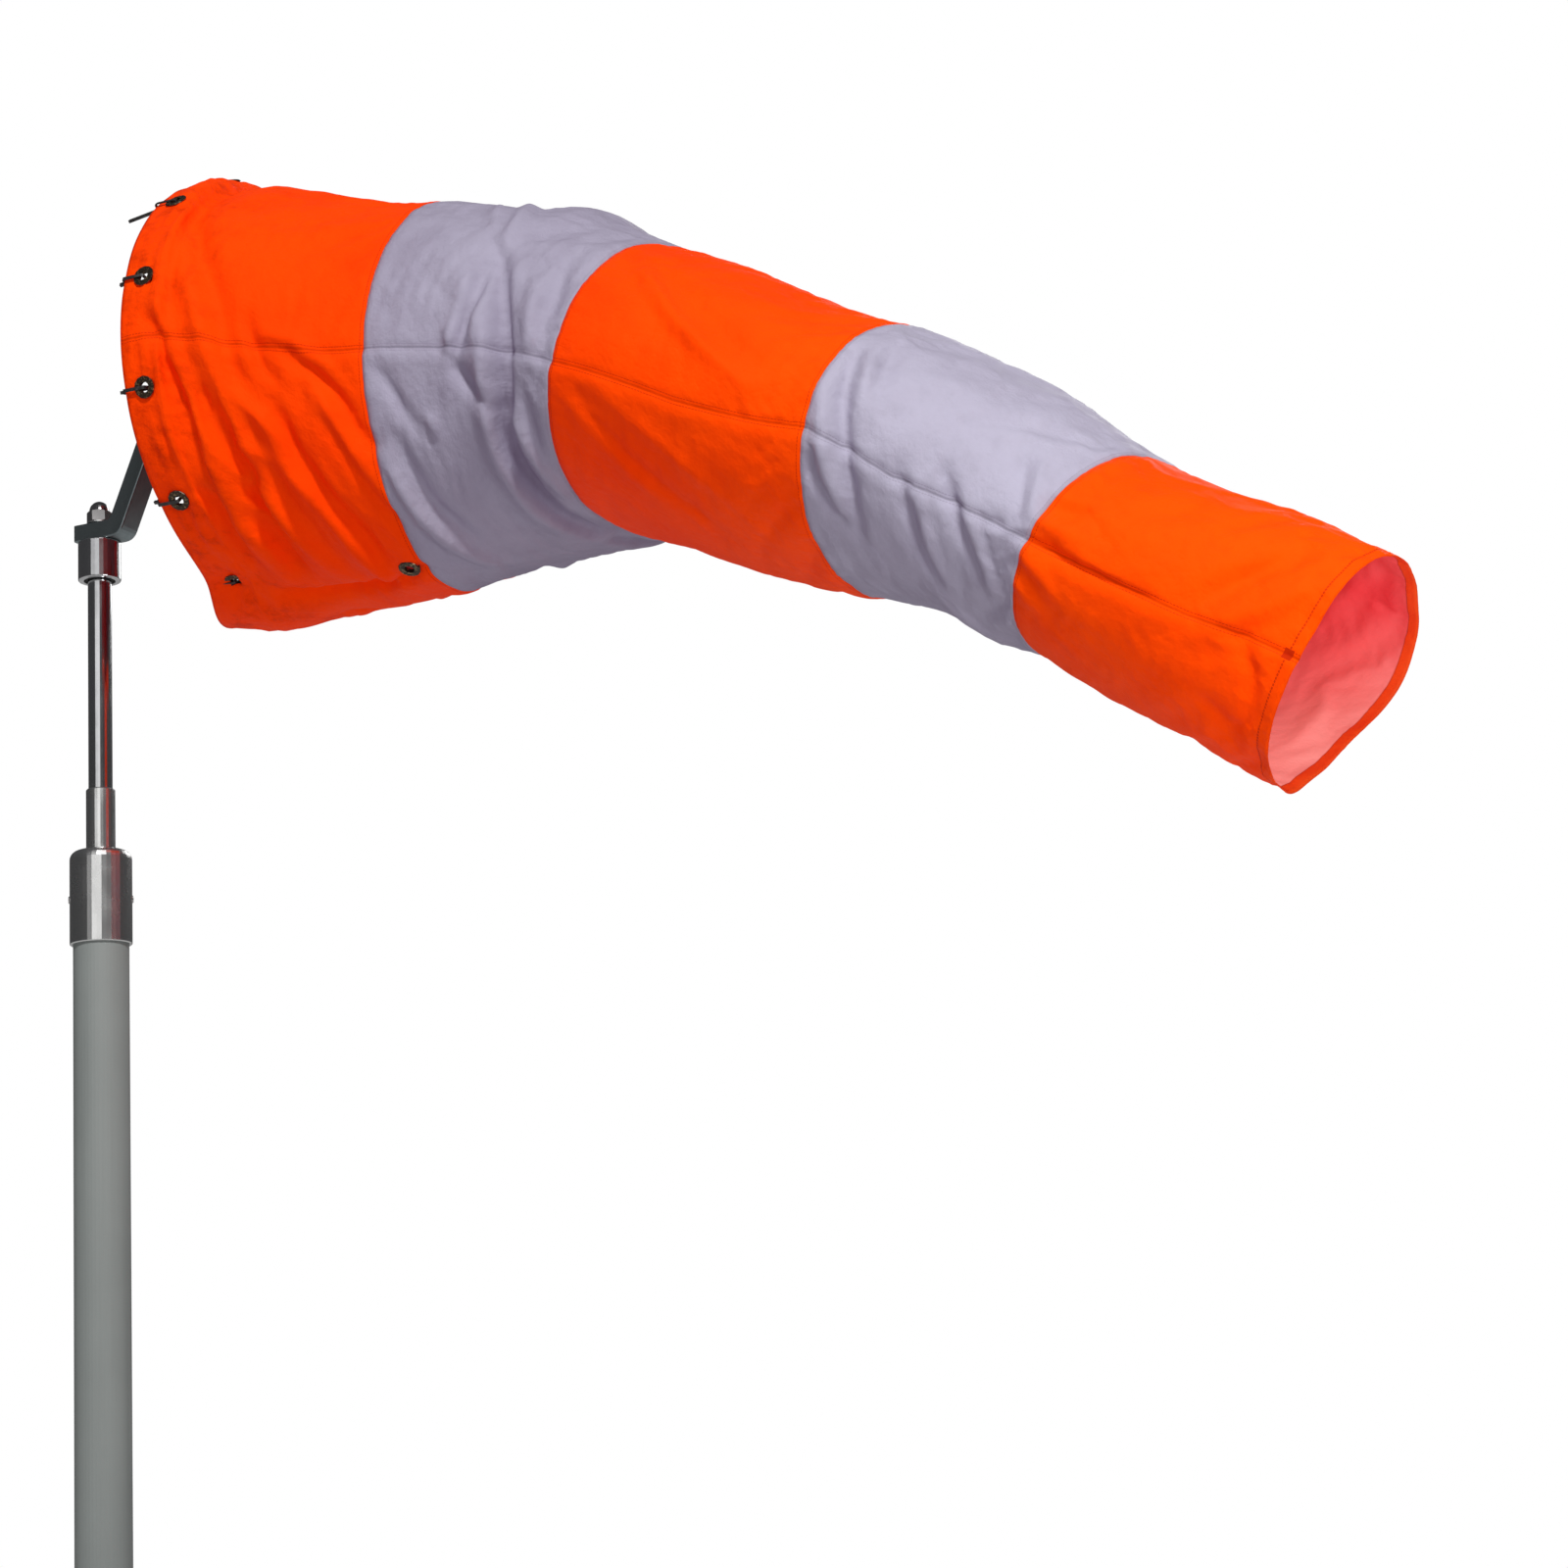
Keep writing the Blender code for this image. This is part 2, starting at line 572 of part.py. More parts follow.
def tie_bmesh(tail):
    """A cable tie at the top of the mouth: through an eyelet, round the hem and the ring."""
    ring_low = ring_radius() - RING_ROD_D / 2.0
    low = ring_low - GAP - TIE_THICK / 2.0
    high = MOUTH_R + EYELET_FLANGE + 0.0006 + TIE_THICK / 2.0
    front = -GAP - TIE_THICK / 2.0
    rear = EYELET_INSET
    turn = 0.002
    head_low, head_high, head_deep = low + 0.0048, low + 0.0104, 0.0030
    half = TIE_THICK / 2.0
    path = []
    for centre, start in (((rear - turn, high - turn), 90.0), ((rear - turn, low + turn), 0.0),
                          ((front + turn, low + turn), -90.0)):
        for point in arc(centre, turn, start, start - 90.0, 3):
            path.append((point, half, TIE_WIDE / 2.0))
    normals = [90.0, 60.0, 30.0, 0.0, 0.0, -30.0, -60.0, -90.0, -90.0, -120.0, -150.0, -180.0]
    for height, thick, wide in ((head_low, half, TIE_WIDE / 2.0),
                                (head_low + 0.0002, head_deep, 0.0028),
                                (head_high, head_deep, 0.0028),
                                (head_high + 0.0002, half, TIE_WIDE / 2.0)):
        path.append(((front, height), thick, wide))
        normals.append(-180.0)
    for point, normal in zip(arc((front + turn, high - turn), turn, 180.0, 90.0, 3),
                             (-180.0, -210.0, -240.0, -270.0)):
        path.append((point, half, TIE_WIDE / 2.0))
        normals.append(normal)
    bm = bmesh.new()
    rows = []
    for ((x, z), thick, wide), normal in zip(path, normals):
        out = Vector((math.cos(math.radians(normal)), 0.0, math.sin(math.radians(normal))))
        base = Vector((x, 0.0, z))
        side = Vector((0.0, wide, 0.0))
        rows.append([bm.verts.new(p) for p in (base + out * thick - side, base + out * thick + side,
                                               base - out * half + side, base - out * half - side)])
    head_face = None
    for k, row in enumerate(rows):
        ahead = rows[(k + 1) % len(rows)]
        for j in range(4):
            follow = (j + 1) % 4
            face = bm.faces.new([row[j], row[follow], ahead[follow], ahead[j]])
            if k == 13 and j == 0:
                head_face = face
    bmesh.ops.recalc_face_normals(bm, faces=bm.faces)
    bmesh.ops.inset_individual(bm, faces=[head_face], thickness=0.0016)
    grown = bmesh.ops.extrude_discrete_faces(bm, faces=[head_face])["faces"]
    bmesh.ops.translate(bm, verts=grown[0].verts, vec=(-tail, 0.0, tail * -0.12))
    return bm


def main():
    clear_scene()
    mast_paint = material("mast_paint", (0.215, 0.225, 0.220), 0.62, 0.15)
    stainless = material("stainless", (0.60, 0.59, 0.57), 0.22, 1.0)
    bearing_steel = material("bearing_steel", (0.56, 0.57, 0.58), 0.25, 1.0)
    rubber = material("seal_rubber", (0.02, 0.02, 0.02), 0.70, 0.0)
    orange = material("orange_cloth", (0.95, 0.09, 0.01), 0.80, 0.0)
    white = material("white_cloth", (0.62, 0.60, 0.66), 0.85, 0.0)
    brass = material("eyelet_brass", (0.20, 0.15, 0.10), 0.45, 1.0)
    nylon = material("tie_nylon", (0.025, 0.022, 0.020), 0.50, 0.0)

    base_flange(mast_paint)
    gussets(mast_paint)
    mast_tube(mast_paint)
    mast_sleeve(stainless)
    grub_screws(bearing_steel)
    spigot(stainless)
    spindle_rod(stainless)
    _, lower, upper = stack()
    bearing("lower", HUB_BOTTOM + lower, bearing_steel, bearing_steel)
    bearing("upper", HUB_BOTTOM + upper, bearing_steel, bearing_steel)
    dome_nut(stainless, spindle_stack(stainless))
    hub_collar(stainless)
    hub_seal(rubber)
    carrier_arm(stainless)
    mouth_ring(stainless)
    bands = [band(k, white if k % 2 else orange) for k in range(5)]
    front_band_fittings(bands[0], brass, nylon)


main()
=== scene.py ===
"""Looks of the windsock with pole: cloth sock, polished spindle, painted mast, camera, studio."""
import math

import bpy
import numpy as np
from mathutils import Matrix, Vector


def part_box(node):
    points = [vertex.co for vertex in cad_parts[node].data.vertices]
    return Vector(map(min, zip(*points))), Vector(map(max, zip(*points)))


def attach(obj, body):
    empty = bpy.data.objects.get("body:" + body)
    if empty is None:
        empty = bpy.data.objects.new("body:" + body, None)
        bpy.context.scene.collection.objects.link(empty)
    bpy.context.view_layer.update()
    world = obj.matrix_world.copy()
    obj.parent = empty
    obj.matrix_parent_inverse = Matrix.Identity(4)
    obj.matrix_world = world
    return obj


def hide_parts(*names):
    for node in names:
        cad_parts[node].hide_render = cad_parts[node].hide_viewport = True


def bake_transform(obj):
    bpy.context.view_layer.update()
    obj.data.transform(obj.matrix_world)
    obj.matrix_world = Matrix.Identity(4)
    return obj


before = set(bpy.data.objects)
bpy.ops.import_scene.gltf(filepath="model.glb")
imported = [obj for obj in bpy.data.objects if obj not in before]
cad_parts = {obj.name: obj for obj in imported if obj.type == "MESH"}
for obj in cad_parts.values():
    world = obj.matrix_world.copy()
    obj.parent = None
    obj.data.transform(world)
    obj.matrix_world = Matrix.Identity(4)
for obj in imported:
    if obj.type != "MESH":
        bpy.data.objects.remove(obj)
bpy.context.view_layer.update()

# ---- sizes, metres and degrees ------------------------------------------------------------
SLEEVE_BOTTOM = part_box("mast_sleeve")[0].z
RING_LOW, RING_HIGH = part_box("mouth_ring")
MOUTH_Z = (RING_LOW.z + RING_HIGH.z) / 2.0
MOUTH_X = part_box("band_1")[0].x
CLOTH = 0.0008               # thickness of the cloth
MOUTH_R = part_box("band_1")[1].y - 0.001      # the hem lies 1 mm inside the CAD band's outside
BAND_SLANT = 0.287           # cut length of each band
BAND_COUNT = 5
SOCK_LENGTH = BAND_COUNT * BAND_SLANT
MOUTH_D, TAIL_D = 2.0 * MOUTH_R, 0.227
HEM = 0.045                  # straight part of the mouth, held by the ring
RING_HOLD = 0.020            # part of the hem that the ring holds fully
TAIL_HEM = 0.012
SAG_ANGLE = 178.0            # where the mouth's edge hangs lowest
SOFTEST = 11.0               # millimetres, the narrowest half width the settling cloth can hold
BLUNT = 3.0                  # millimetres, how blunt a pressed crease is
AROUND = 168                 # cells round the sock while the cloth settles
ALONG = 32                   # and along one band; the finished cloth has twice as many each way
EYELET_HOLE = 0.0078         # cloth is cut away this far from the middle of an eyelet
WEAVE = 0.00055              # pitch of the weave
STITCH = 0.0034              # pitch of the stitches
STITCH_ROW = 0.004           # how far a row of stitches lies from its seam

# Seams, mouth to tail, as the wind holds them: centre x, y and height above the sleeve's lower
# edge, swing and droop, upright and sideways half axes, and how far the sides bow back
# towards the mouth.
SEAMS = (
    (MOUTH_X, 0.000, MOUTH_Z - SLEEVE_BOTTOM, 0.0, 0.0, MOUTH_R, MOUTH_R, 0.000),
    (0.463, 0.019, 0.541, 2.2, 3.0, 0.217, 0.203, 0.006),
    (0.688, 0.023, 0.511, 9.7, 21.9, 0.149, 0.214, -0.021),
    (0.945, 0.010, 0.386, 6.6, 20.1, 0.134, 0.188, -0.004),
    (1.156, 0.024, 0.253, 14.7, 38.7, 0.110, 0.162, -0.015),
    (1.384, -0.040, 0.097, 9.4, 35.9, 0.119, 0.105, -0.004),
)
# The tail's rim hangs with two corners: angle from the top towards -Y, and radius.
TAIL_RIM = ((0, 0.115), (31, 0.111), (50, 0.107), (76, 0.095), (100, 0.095), (123, 0.102),
            (149, 0.110), (178, 0.120), (197, 0.129), (210, 0.116), (241, 0.105), (262, 0.118),
            (276, 0.127), (302, 0.121), (319, 0.115), (342, 0.115))
# The long seam: place along the sock, in bands, and angle from the top towards -Y.
LONG_SEAM = ((0.0, 92), (1.0, 90), (1.4, 93), (2.0, 96), (2.5, 97), (3.0, 94), (3.4, 99),
             (4.0, 92), (4.6, 93), (5.0, 89))

# Folds: millimetres out of the surface (inwards is negative), half width in millimetres, how
# sharp from 0 to 1, and the points each runs through, as bands along and degrees round.
FOLDS = (
    # band 1: drag lines from the ring down to the first seam
    (8, 20, 0.0, (0.06, -50), (0.06, 0), (0.07, 42)),
    (-8, 14, 0.2, (0.20, -40), (0.19, 0), (0.18, 45), (0.30, 66), (0.40, 80), (0.47, 100)),
    (8, 10, 0.3, (0.26, 74), (0.36, 94), (0.46, 120)),
    (-8, 6, 0.7, (0.09, 86), (0.16, 92), (0.20, 100), (0.24, 112), (0.26, 126), (0.28, 138)),
    (6, 8, 0.3, (0.15, 83), (0.22, 96), (0.26, 110)),
    (10, 12, 0.3, (0.27, 112), (0.29, 128), (0.31, 145), (0.34, 162)),
    (-13, 13, 0.3, (0.34, 106), (0.41, 121), (0.43, 138), (0.44, 156)),
    (7, 10, 0.4, (0.56, 110), (0.62, 124), (0.70, 134), (0.77, 150), (0.82, 165)),
    (-8, 9, 0.4, (0.62, 106), (0.71, 127), (0.80, 141), (0.86, 152)),
    (-6, 7, 0.5, (0.51, 83), (0.58, 95), (0.65, 101)),
    (7, 8, 0.5, (0.59, 87), (0.73, 90), (0.85, 96)),
    (-8, 7, 0.6, (0.69, 92), (0.80, 96), (0.90, 105), (0.98, 117)),
    (8, 7, 0.5, (0.82, 103), (0.89, 115), (0.96, 128), (1.02, 139)),
    (-7, 8, 0.4, (0.84, 111), (0.93, 126), (1.00, 140)),
    (-7, 8, 0.5, (0.19, 133), (0.25, 140), (0.24, 155)),
    (6, 12, 0.2, (0.44, 122), (0.52, 140), (0.57, 158)),
    (-4, 10, 0.2, (0.50, 116), (0.60, 138), (0.66, 158)),
    (-10, 4, 1.0, (0.30, 168), (0.44, 170), (0.62, 168), (0.78, 165), (0.98, 158)),
    (13, 26, 0.0, (0.10, 184), (0.40, 186), (0.75, 180)),
    # band 2: the deep crease where the sock starts to droop
    (-14, 10, 0.8, (1.54, 60), (1.63, 76), (1.71, 92), (1.74, 107), (1.73, 121), (1.76, 134),
     (1.80, 148), (1.83, 165), (1.83, 178)),
    (11, 17, 0.1, (1.45, 72), (1.60, 92), (1.65, 110), (1.66, 128), (1.70, 145), (1.75, 164)),
    (8, 14, 0.1, (1.79, 72), (1.87, 96)),
    (-6, 12, 0.1, (1.83, 106), (1.92, 126)),
    (6, 8, 0.4, (1.79, 117), (1.88, 132), (1.93, 146)),
    (-10, 7, 0.6, (1.51, 66), (1.51, 80), (1.49, 94)),
    (7, 7, 0.7, (1.46, 86), (1.45, 97)),
    (5, 8, 0.8, (1.40, 20), (1.48, 38), (1.55, 60)),
    (4, 5, 0.8, (1.32, 28), (1.42, 46)),
    (12, 34, 0.0, (1.60, -55), (1.58, 0), (1.60, 34)),
    (-6, 14, 0.2, (1.84, 56), (1.93, 86)),
    (-6, 6, 0.7, (1.44, 95), (1.52, 102), (1.70, 113)),
    (8, 12, 0.3, (1.05, 122), (1.12, 138), (1.22, 154), (1.32, 168)),
    (-6, 10, 0.3, (1.15, 118), (1.23, 137), (1.34, 153)),
    (-4, 5, 0.6, (1.09, 97), (1.16, 105), (1.23, 113)),
    (4, 5, 0.7, (1.33, 112), (1.37, 118)),
    (-11, 22, 0.0, (1.90, 165), (1.92, 200)),
    # band 3: tight, with one drag line above the seam
    (2, 75, 0.0, (2.50, -40), (2.50, 0), (2.50, 30)),
    (5, 6, 0.7, (2.18, 56), (2.38, 70), (2.56, 78), (2.74, 85)),
    (-3, 12, 0.1, (2.30, 52), (2.52, 66), (2.80, 78)),
    (3, 9, 0.4, (2.24, 103), (2.45, 112), (2.72, 127)),
    (-3, 9, 0.4, (2.14, 110), (2.36, 126), (2.60, 142)),
    (2, 8, 0.4, (2.05, 104), (2.20, 116), (2.40, 136)),
    # band 4: short pleats from the seam
    (-8, 6, 0.8, (3.06, 60), (3.12, 80), (3.19, 97), (3.24, 112), (3.26, 128)),
    (6, 8, 0.3, (3.03, 80), (3.11, 102), (3.20, 122)),
    (-4, 7, 0.5, (3.04, 106), (3.13, 118), (3.22, 127)),
    (4, 7, 0.3, (3.12, 54), (3.20, 82)),
    (-3, 7, 0.4, (3.17, 52), (3.23, 74)),
    (-6, 8, 0.6, (3.43, 97), (3.51, 112), (3.60, 132)),
    (4, 9, 0.3, (3.50, 98), (3.58, 116), (3.66, 132)),
    (-7, 7, 0.6, (3.58, 87), (3.69, 100), (3.83, 117)),
    (5, 9, 0.3, (3.68, 92), (3.80, 107), (3.90, 122)),
    (-4, 9, 0.2, (3.78, 62), (3.92, 86)),
    (4, 9, 0.2, (3.86, 62), (3.97, 86)),
    (6, 20, 0.0, (3.60, 150), (3.80, 175)),
    # band 5: fanned folds behind the last seam, and a dent above the bar-tack
    (-5, 8, 0.4, (4.00, 78), (4.12, 72)),
    (4, 8, 0.3, (4.02, 84), (4.16, 82)),
    (-5, 6, 0.6, (4.00, 91), (4.20, 93), (4.45, 94)),
    (4, 6, 0.4, (4.01, 98), (4.10, 104)),
    (-3, 5, 0.6, (4.01, 104), (4.08, 111)),
    (3, 6, 0.4, (4.01, 110), (4.10, 118)),
    (-8, 13, 0.2, (4.60, 86), (4.69, 68), (4.80, 46)),
    (6, 12, 0.2, (4.68, 92), (4.80, 78), (4.90, 58)),
    (-4, 8, 0.5, (4.80, 95), (4.88, 108), (4.90, 124)),
    (-5, 14, 0.1, (4.72, 128), (4.88, 140)),
)


# ---- camera -------------------------------------------------------------------------------
def make_camera():
    """From in front of the sock's side and towards its tail, looking up from below the sleeve."""
    distance, azimuth, below = 3.392, math.radians(35.12), 0.579
    heading, pitch, roll = math.radians(22.34), math.radians(12.25), math.radians(-3.0)
    ahead = Vector((-math.sin(heading) * math.cos(pitch), math.cos(heading) * math.cos(pitch),
                    math.sin(pitch)))
    level = Vector((math.cos(heading), math.sin(heading), 0.0))
    above = level.cross(ahead)
    right = level * math.cos(roll) + above * math.sin(roll)
    up = right.cross(ahead)
    camera = bpy.data.objects.new("camera", bpy.data.cameras.new("camera"))
    rotation = Matrix((right, up, -ahead)).transposed().to_4x4()
    spot = Vector((distance * math.sin(azimuth), -distance * math.cos(azimuth),
                   SLEEVE_BOTTOM - below))
    camera.matrix_world = Matrix.Translation(spot) @ rotation
    camera.data.sensor_width = 36.0
    camera.data.lens = 70.87
    camera.data.clip_end = 200.0
    bpy.context.scene.collection.objects.link(camera)
    bpy.context.scene.camera = camera


# ---- sock shape ---------------------------------------------------------------------------
def seam_frame(seam):
    """Unit vectors at a seam: along the sock, to its side at -Y, and up."""
    swing, droop = math.radians(seam[3]), math.radians(seam[4])
    ahead = np.array((math.cos(droop) * math.cos(swing), -math.cos(droop) * math.sin(swing),
                      -math.sin(droop)))
    side = np.array((-math.sin(swing), -math.cos(swing), 0.0))
    return ahead, side, -np.cross(ahead, side)


def seam_centre(seam):
    return np.array((seam[0], seam[1], SLEEVE_BOTTOM + seam[2]))


def hermite(p0, p1, t0, t1, t):
    """The point at t, from 0 to 1, of the curve from p0 to p1 with directions t0 and t1."""
    span = np.linalg.norm(p1 - p0)
    return (p0 * (2 * t ** 3 - 3 * t ** 2 + 1) + t0 * span * (t ** 3 - 2 * t ** 2 + t)
            + p1 * (3 * t ** 2 - 2 * t ** 3) + t1 * span * (t ** 3 - t ** 2))


def evenly_spaced(points):
    """The same closed outline with its points an equal length apart."""
    closed = np.vstack((points, points[:1]))
    reach = np.concatenate(((0.0,), np.cumsum(np.linalg.norm(np.diff(closed, axis=0), axis=1))))
    wanted = np.arange(AROUND) * reach[-1] / AROUND
    return np.stack([np.interp(wanted, reach, closed[:, axis]) for axis in range(3)], axis=1)


def ring_points(centre, ahead, side, up, tall, wide, bow, rim=0.0):
    """An oval of the sock, from its top towards -Y; rim turns it into the tail's outline."""
    angles = np.radians(np.arange(0, 360))
    cos, sin = np.cos(angles)[:, None], np.sin(angles)[:, None]
    oval = up * tall * cos + side * wide * sin
    turns, radii = zip(*TAIL_RIM)
    radius = np.interp(np.arange(0, 360), turns + (360,), radii + radii[:1])
    soft = sum(np.roll(radius, shift) for shift in range(-6, 7)) / 13.0
    outline = (up * cos + side * sin) * soft[:, None]
    return evenly_spaced(centre + oval * (1.0 - rim) + outline * rim - ahead * bow * sin ** 2)


def rows_in(length):
    """How many rows of settling cells a length along the sock takes."""
    return int(round(length / BAND_SLANT * ALONG))


def sock_base():
    """The sock's smooth surface: rows from mouth to tail, points from the top towards -Y."""
    rows = []
    for k in range(BAND_COUNT):
        front, rear = np.array(SEAMS[k]), np.array(SEAMS[k + 1])
        p0, p1 = seam_centre(front), seam_centre(rear)
        t0, t1 = seam_frame(front)[0], seam_frame(rear)[0]
        last = k == BAND_COUNT - 1
        for j in range(ALONG + last):
            t = j / ALONG
            middle = front + (rear - front) * t
            ahead, side, up = seam_frame(middle)
            centre = hermite(p0, p1, t0, t1, t)
            rows.append(ring_points(centre, ahead, side, up, *middle[5:], rim=last * t ** 2))
    grid = np.array(rows)
    for j in range(rows_in(HEM) + 1):
        centre = np.array((MOUTH_X + j * BAND_SLANT / ALONG, 0.0, MOUTH_Z))
        grid[j] = ring_points(centre, *seam_frame(SEAMS[0]), MOUTH_R, MOUTH_R, 0.0)
    return grid


def outward(grid):
    """Unit normals of a closed-round grid, pointing out of the sock."""
    around = np.roll(grid, -1, 1) - np.roll(grid, 1, 1)
    normals = np.cross(np.gradient(grid, axis=0), around)
    normals /= np.linalg.norm(normals, axis=2, keepdims=True)
    inside_out = ((grid - grid.mean(axis=1, keepdims=True)) * normals).sum() < 0.0
    return -normals if inside_out else normals


def soft_normals(grid):
    """Outward normals evened out with their neighbours, to keep the two layers apart."""
    normals = outward(grid)
    for _ in range(3):
        ends = np.concatenate((normals[:1], normals, normals[-1:]))
        normals = normals + 0.5 * (ends[:-2] + ends[2:])
        normals = normals + 0.5 * (np.roll(normals, 1, 1) + np.roll(normals, -1, 1))
        normals /= np.linalg.norm(normals, axis=2, keepdims=True)
    return normals


def cut_places(rows, around):
    """Every grid point's place on the cut cloth: metres along, degrees round, girth there."""
    along = np.linspace(0.0, BAND_COUNT, rows)[:, None] * np.ones((1, around))
    degrees = np.arange(around)[None, :] * 360.0 / around * np.ones((rows, 1))
    girth = math.pi * (MOUTH_D + (TAIL_D - MOUTH_D) * along / BAND_COUNT)
    return along, degrees, girth


def smooth_path(points, steps=110):
    """A Catmull-Rom curve through the points, as steps points and their places from 0 to 1."""
    knots = np.array(points, float)
    knots = np.vstack((2 * knots[0] - knots[1], knots, 2 * knots[-1] - knots[-2]))
    places = np.linspace(0.0, len(points) - 1.0, steps)
    path = []
    for place in places:
        i = min(int(place), len(points) - 2)
        t = place - i
        a, b, c, d = knots[i:i + 4]
        path.append(0.5 * (2 * b + (c - a) * t + (2 * a - 5 * b + 4 * c - d) * t ** 2
                           + (3 * b - a - 3 * c + d) * t ** 3))
    return np.array(path), places / places[-1]


def fold_shift(cut, fold, crisp):
    """How far a fold moves each grid point out: its soft body, or the crisp line along it."""
    depth, half, sharp = fold[:3]
    path, places = smooth_path(fold[3:])
    shift = np.zeros(cut[0].shape)
    margin = 3.0 * max(half, SOFTEST) / 1000.0 / BAND_SLANT
    near = np.nonzero((cut[0][:, 0] > path[:, 0].min() - margin)
                      & (cut[0][:, 0] < path[:, 0].max() + margin))[0]
    along, degrees, girth = [values[near] for values in cut]
    gap = np.full(along.shape, 1.0)
    where = np.zeros(along.shape)
    for (s, angle), place in zip(path, places):
        turn = (degrees - angle + 180.0) % 360.0 - 180.0
        reach = np.hypot((along - s) * BAND_SLANT, turn / 360.0 * girth)
        nearer = reach < gap
        gap[nearer] = reach[nearer]
        where[nearer] = place
    ratio = (np.hypot(gap * 1000.0, BLUNT) - BLUNT) / half
    soft = gap * 1000.0 / max(half, SOFTEST)
    line = 0.75 * sharp * np.exp(-1.5 * ratio)
    profile = line if crisp else np.exp(-soft ** 2)
    taper = np.sqrt(np.clip(np.sin(math.pi * (0.06 + 0.88 * where)), 0.0, 1.0))
    shift[near] = depth / 1000.0 * profile * taper
    return shift


def lee_side(fold, number):
    """A shallower, wider sister of a fold on the other side of the sock, moved a little."""
    shift = 0.05 * math.sin(2.3 * number)
    turn = 12.0 * math.sin(1.7 * number)
    points = [(s + shift, 360.0 - angle + turn) for s, angle in fold[3:]]
    return (fold[0] * 0.75, fold[1] * 1.15, fold[2] * 0.8, *points)


def soft_noise(cut, cell, seed, slant=0.0):
    """Smooth noise from -1 to 1 over the cut cloth, in cells of the given size in metres."""
    along, degrees, girth = cut
    x = along * BAND_SLANT
    turns = degrees / 360.0 + slant * x
    rng = np.random.default_rng(seed)
    waves = 14
    total = np.zeros(x.shape)
    for _ in range(waves):
        lengthwise = rng.uniform(-1.0, 1.0) / cell
        round_count = int(round(rng.uniform(-1.0, 1.0) * girth.mean() / cell))
        phase = rng.uniform(0.0, 2.0 * math.pi)
        total += np.sin(2.0 * math.pi * (lengthwise * x + round_count * turns) + phase)
    return total / math.sqrt(waves)


def hold_ease(cut, tight=0.006, reach=0.034):
    """0 on the mouth's edge that the ring holds, rising to 1 by the hem's stitches."""
    along = cut[0] * BAND_SLANT
    t = np.clip((along - tight) / reach, 0.0, 1.0)
    return t * t * (3.0 - 2.0 * t)


def drag_lines(cut, pitch=0.036):
    """Sharp ridges that run down and along both lower flanks of the first band."""
    along, degrees, girth = cut
    low = np.where(degrees > 180.0, 360.0 - degrees, degrees)
    across = along * BAND_SLANT * 0.87 - low / 360.0 * girth * 0.50
    drift = soft_noise(cut, 0.11, 31)
    ridges = 1.0 - 2.0 * np.abs(np.sin(math.pi * across / pitch + 1.1 * drift))
    window = np.exp(-((low - 132.0) / 32.0) ** 2) * np.exp(-((along - 0.46) / 0.38) ** 2)
    patchy = np.clip(0.6 + 0.7 * soft_noise(cut, 0.08, 33), 0.0, 1.3)
    return 0.0046 * ridges * window * patchy


def all_folds(cut, crisp):
    """The folds of both sides together, nothing on the mouth's edge."""
    shift = np.zeros(cut[0].shape)
    for number, fold in enumerate(FOLDS):
        shift += fold_shift(cut, fold, crisp)
        middle = fold[3 + len(fold[3:]) // 2]
        if 40 < middle[1] < 172:
            shift += fold_shift(cut, lee_side(fold, number), crisp)
    return shift * hold_ease(cut)


def folded(grid):
    """The sock's surface with its folds and soft unevenness."""
    cut = cut_places(*grid.shape[:2])
    uneven = 0.0010 * soft_noise(cut, 0.16, 3) + 0.0005 * soft_noise(cut, 0.07, 5, 0.8)
    shift = all_folds(cut, False) + uneven * hold_ease(cut)
    return grid + outward(grid) * shift[:, :, None]


def sagged(grid):
    """A pouch at the mouth's lowest edge, a belly behind it, and a lift under seam 1."""
    along, degrees, _ = cut_places(*grid.shape[:2])
    round_it = np.exp(-((degrees - SAG_ANGLE) / 13.0) ** 2)
    edge = round_it * np.exp(-(along / 0.20) ** 2)
    belly = round_it * np.exp(-((along - 0.15) / 0.30) ** 2)
    drop = edge[:, :, None] * np.array((-0.024, 0.0, -0.006))
    lift = np.exp(-((degrees - 200.0) / 20.0) ** 2) * np.exp(-((along - 1.0) / 0.50) ** 2)
    heave = 0.024 * (lift - belly)
    return grid + drop + heave[:, :, None] * np.array((0.0, 0.0, 1.0))


def grid_faces(rows, around):
    """The four-cornered cells of a closed-round grid."""
    faces = []
    for j in range(rows - 1):
        for k in range(around):
            ahead = (k + 1) % around
            faces.append((j * around + k, j * around + ahead, (j + 1) * around + ahead,
                          (j + 1) * around + k))
    return faces


def hold_weights(rows, ring=1.0, seam=0.8, hem=0.5, loose=0.14):
    """How firmly each row keeps its place, from 0 to 1; the tail's edge counts as a seam."""
    weights = np.full((rows, AROUND), loose)
    weights[:rows_in(HEM)] = hem
    weights[:rows_in(RING_HOLD) + 1] = ring
    for k in range(1, BAND_COUNT + 1):
        weights[k * ALONG] = seam
    return weights


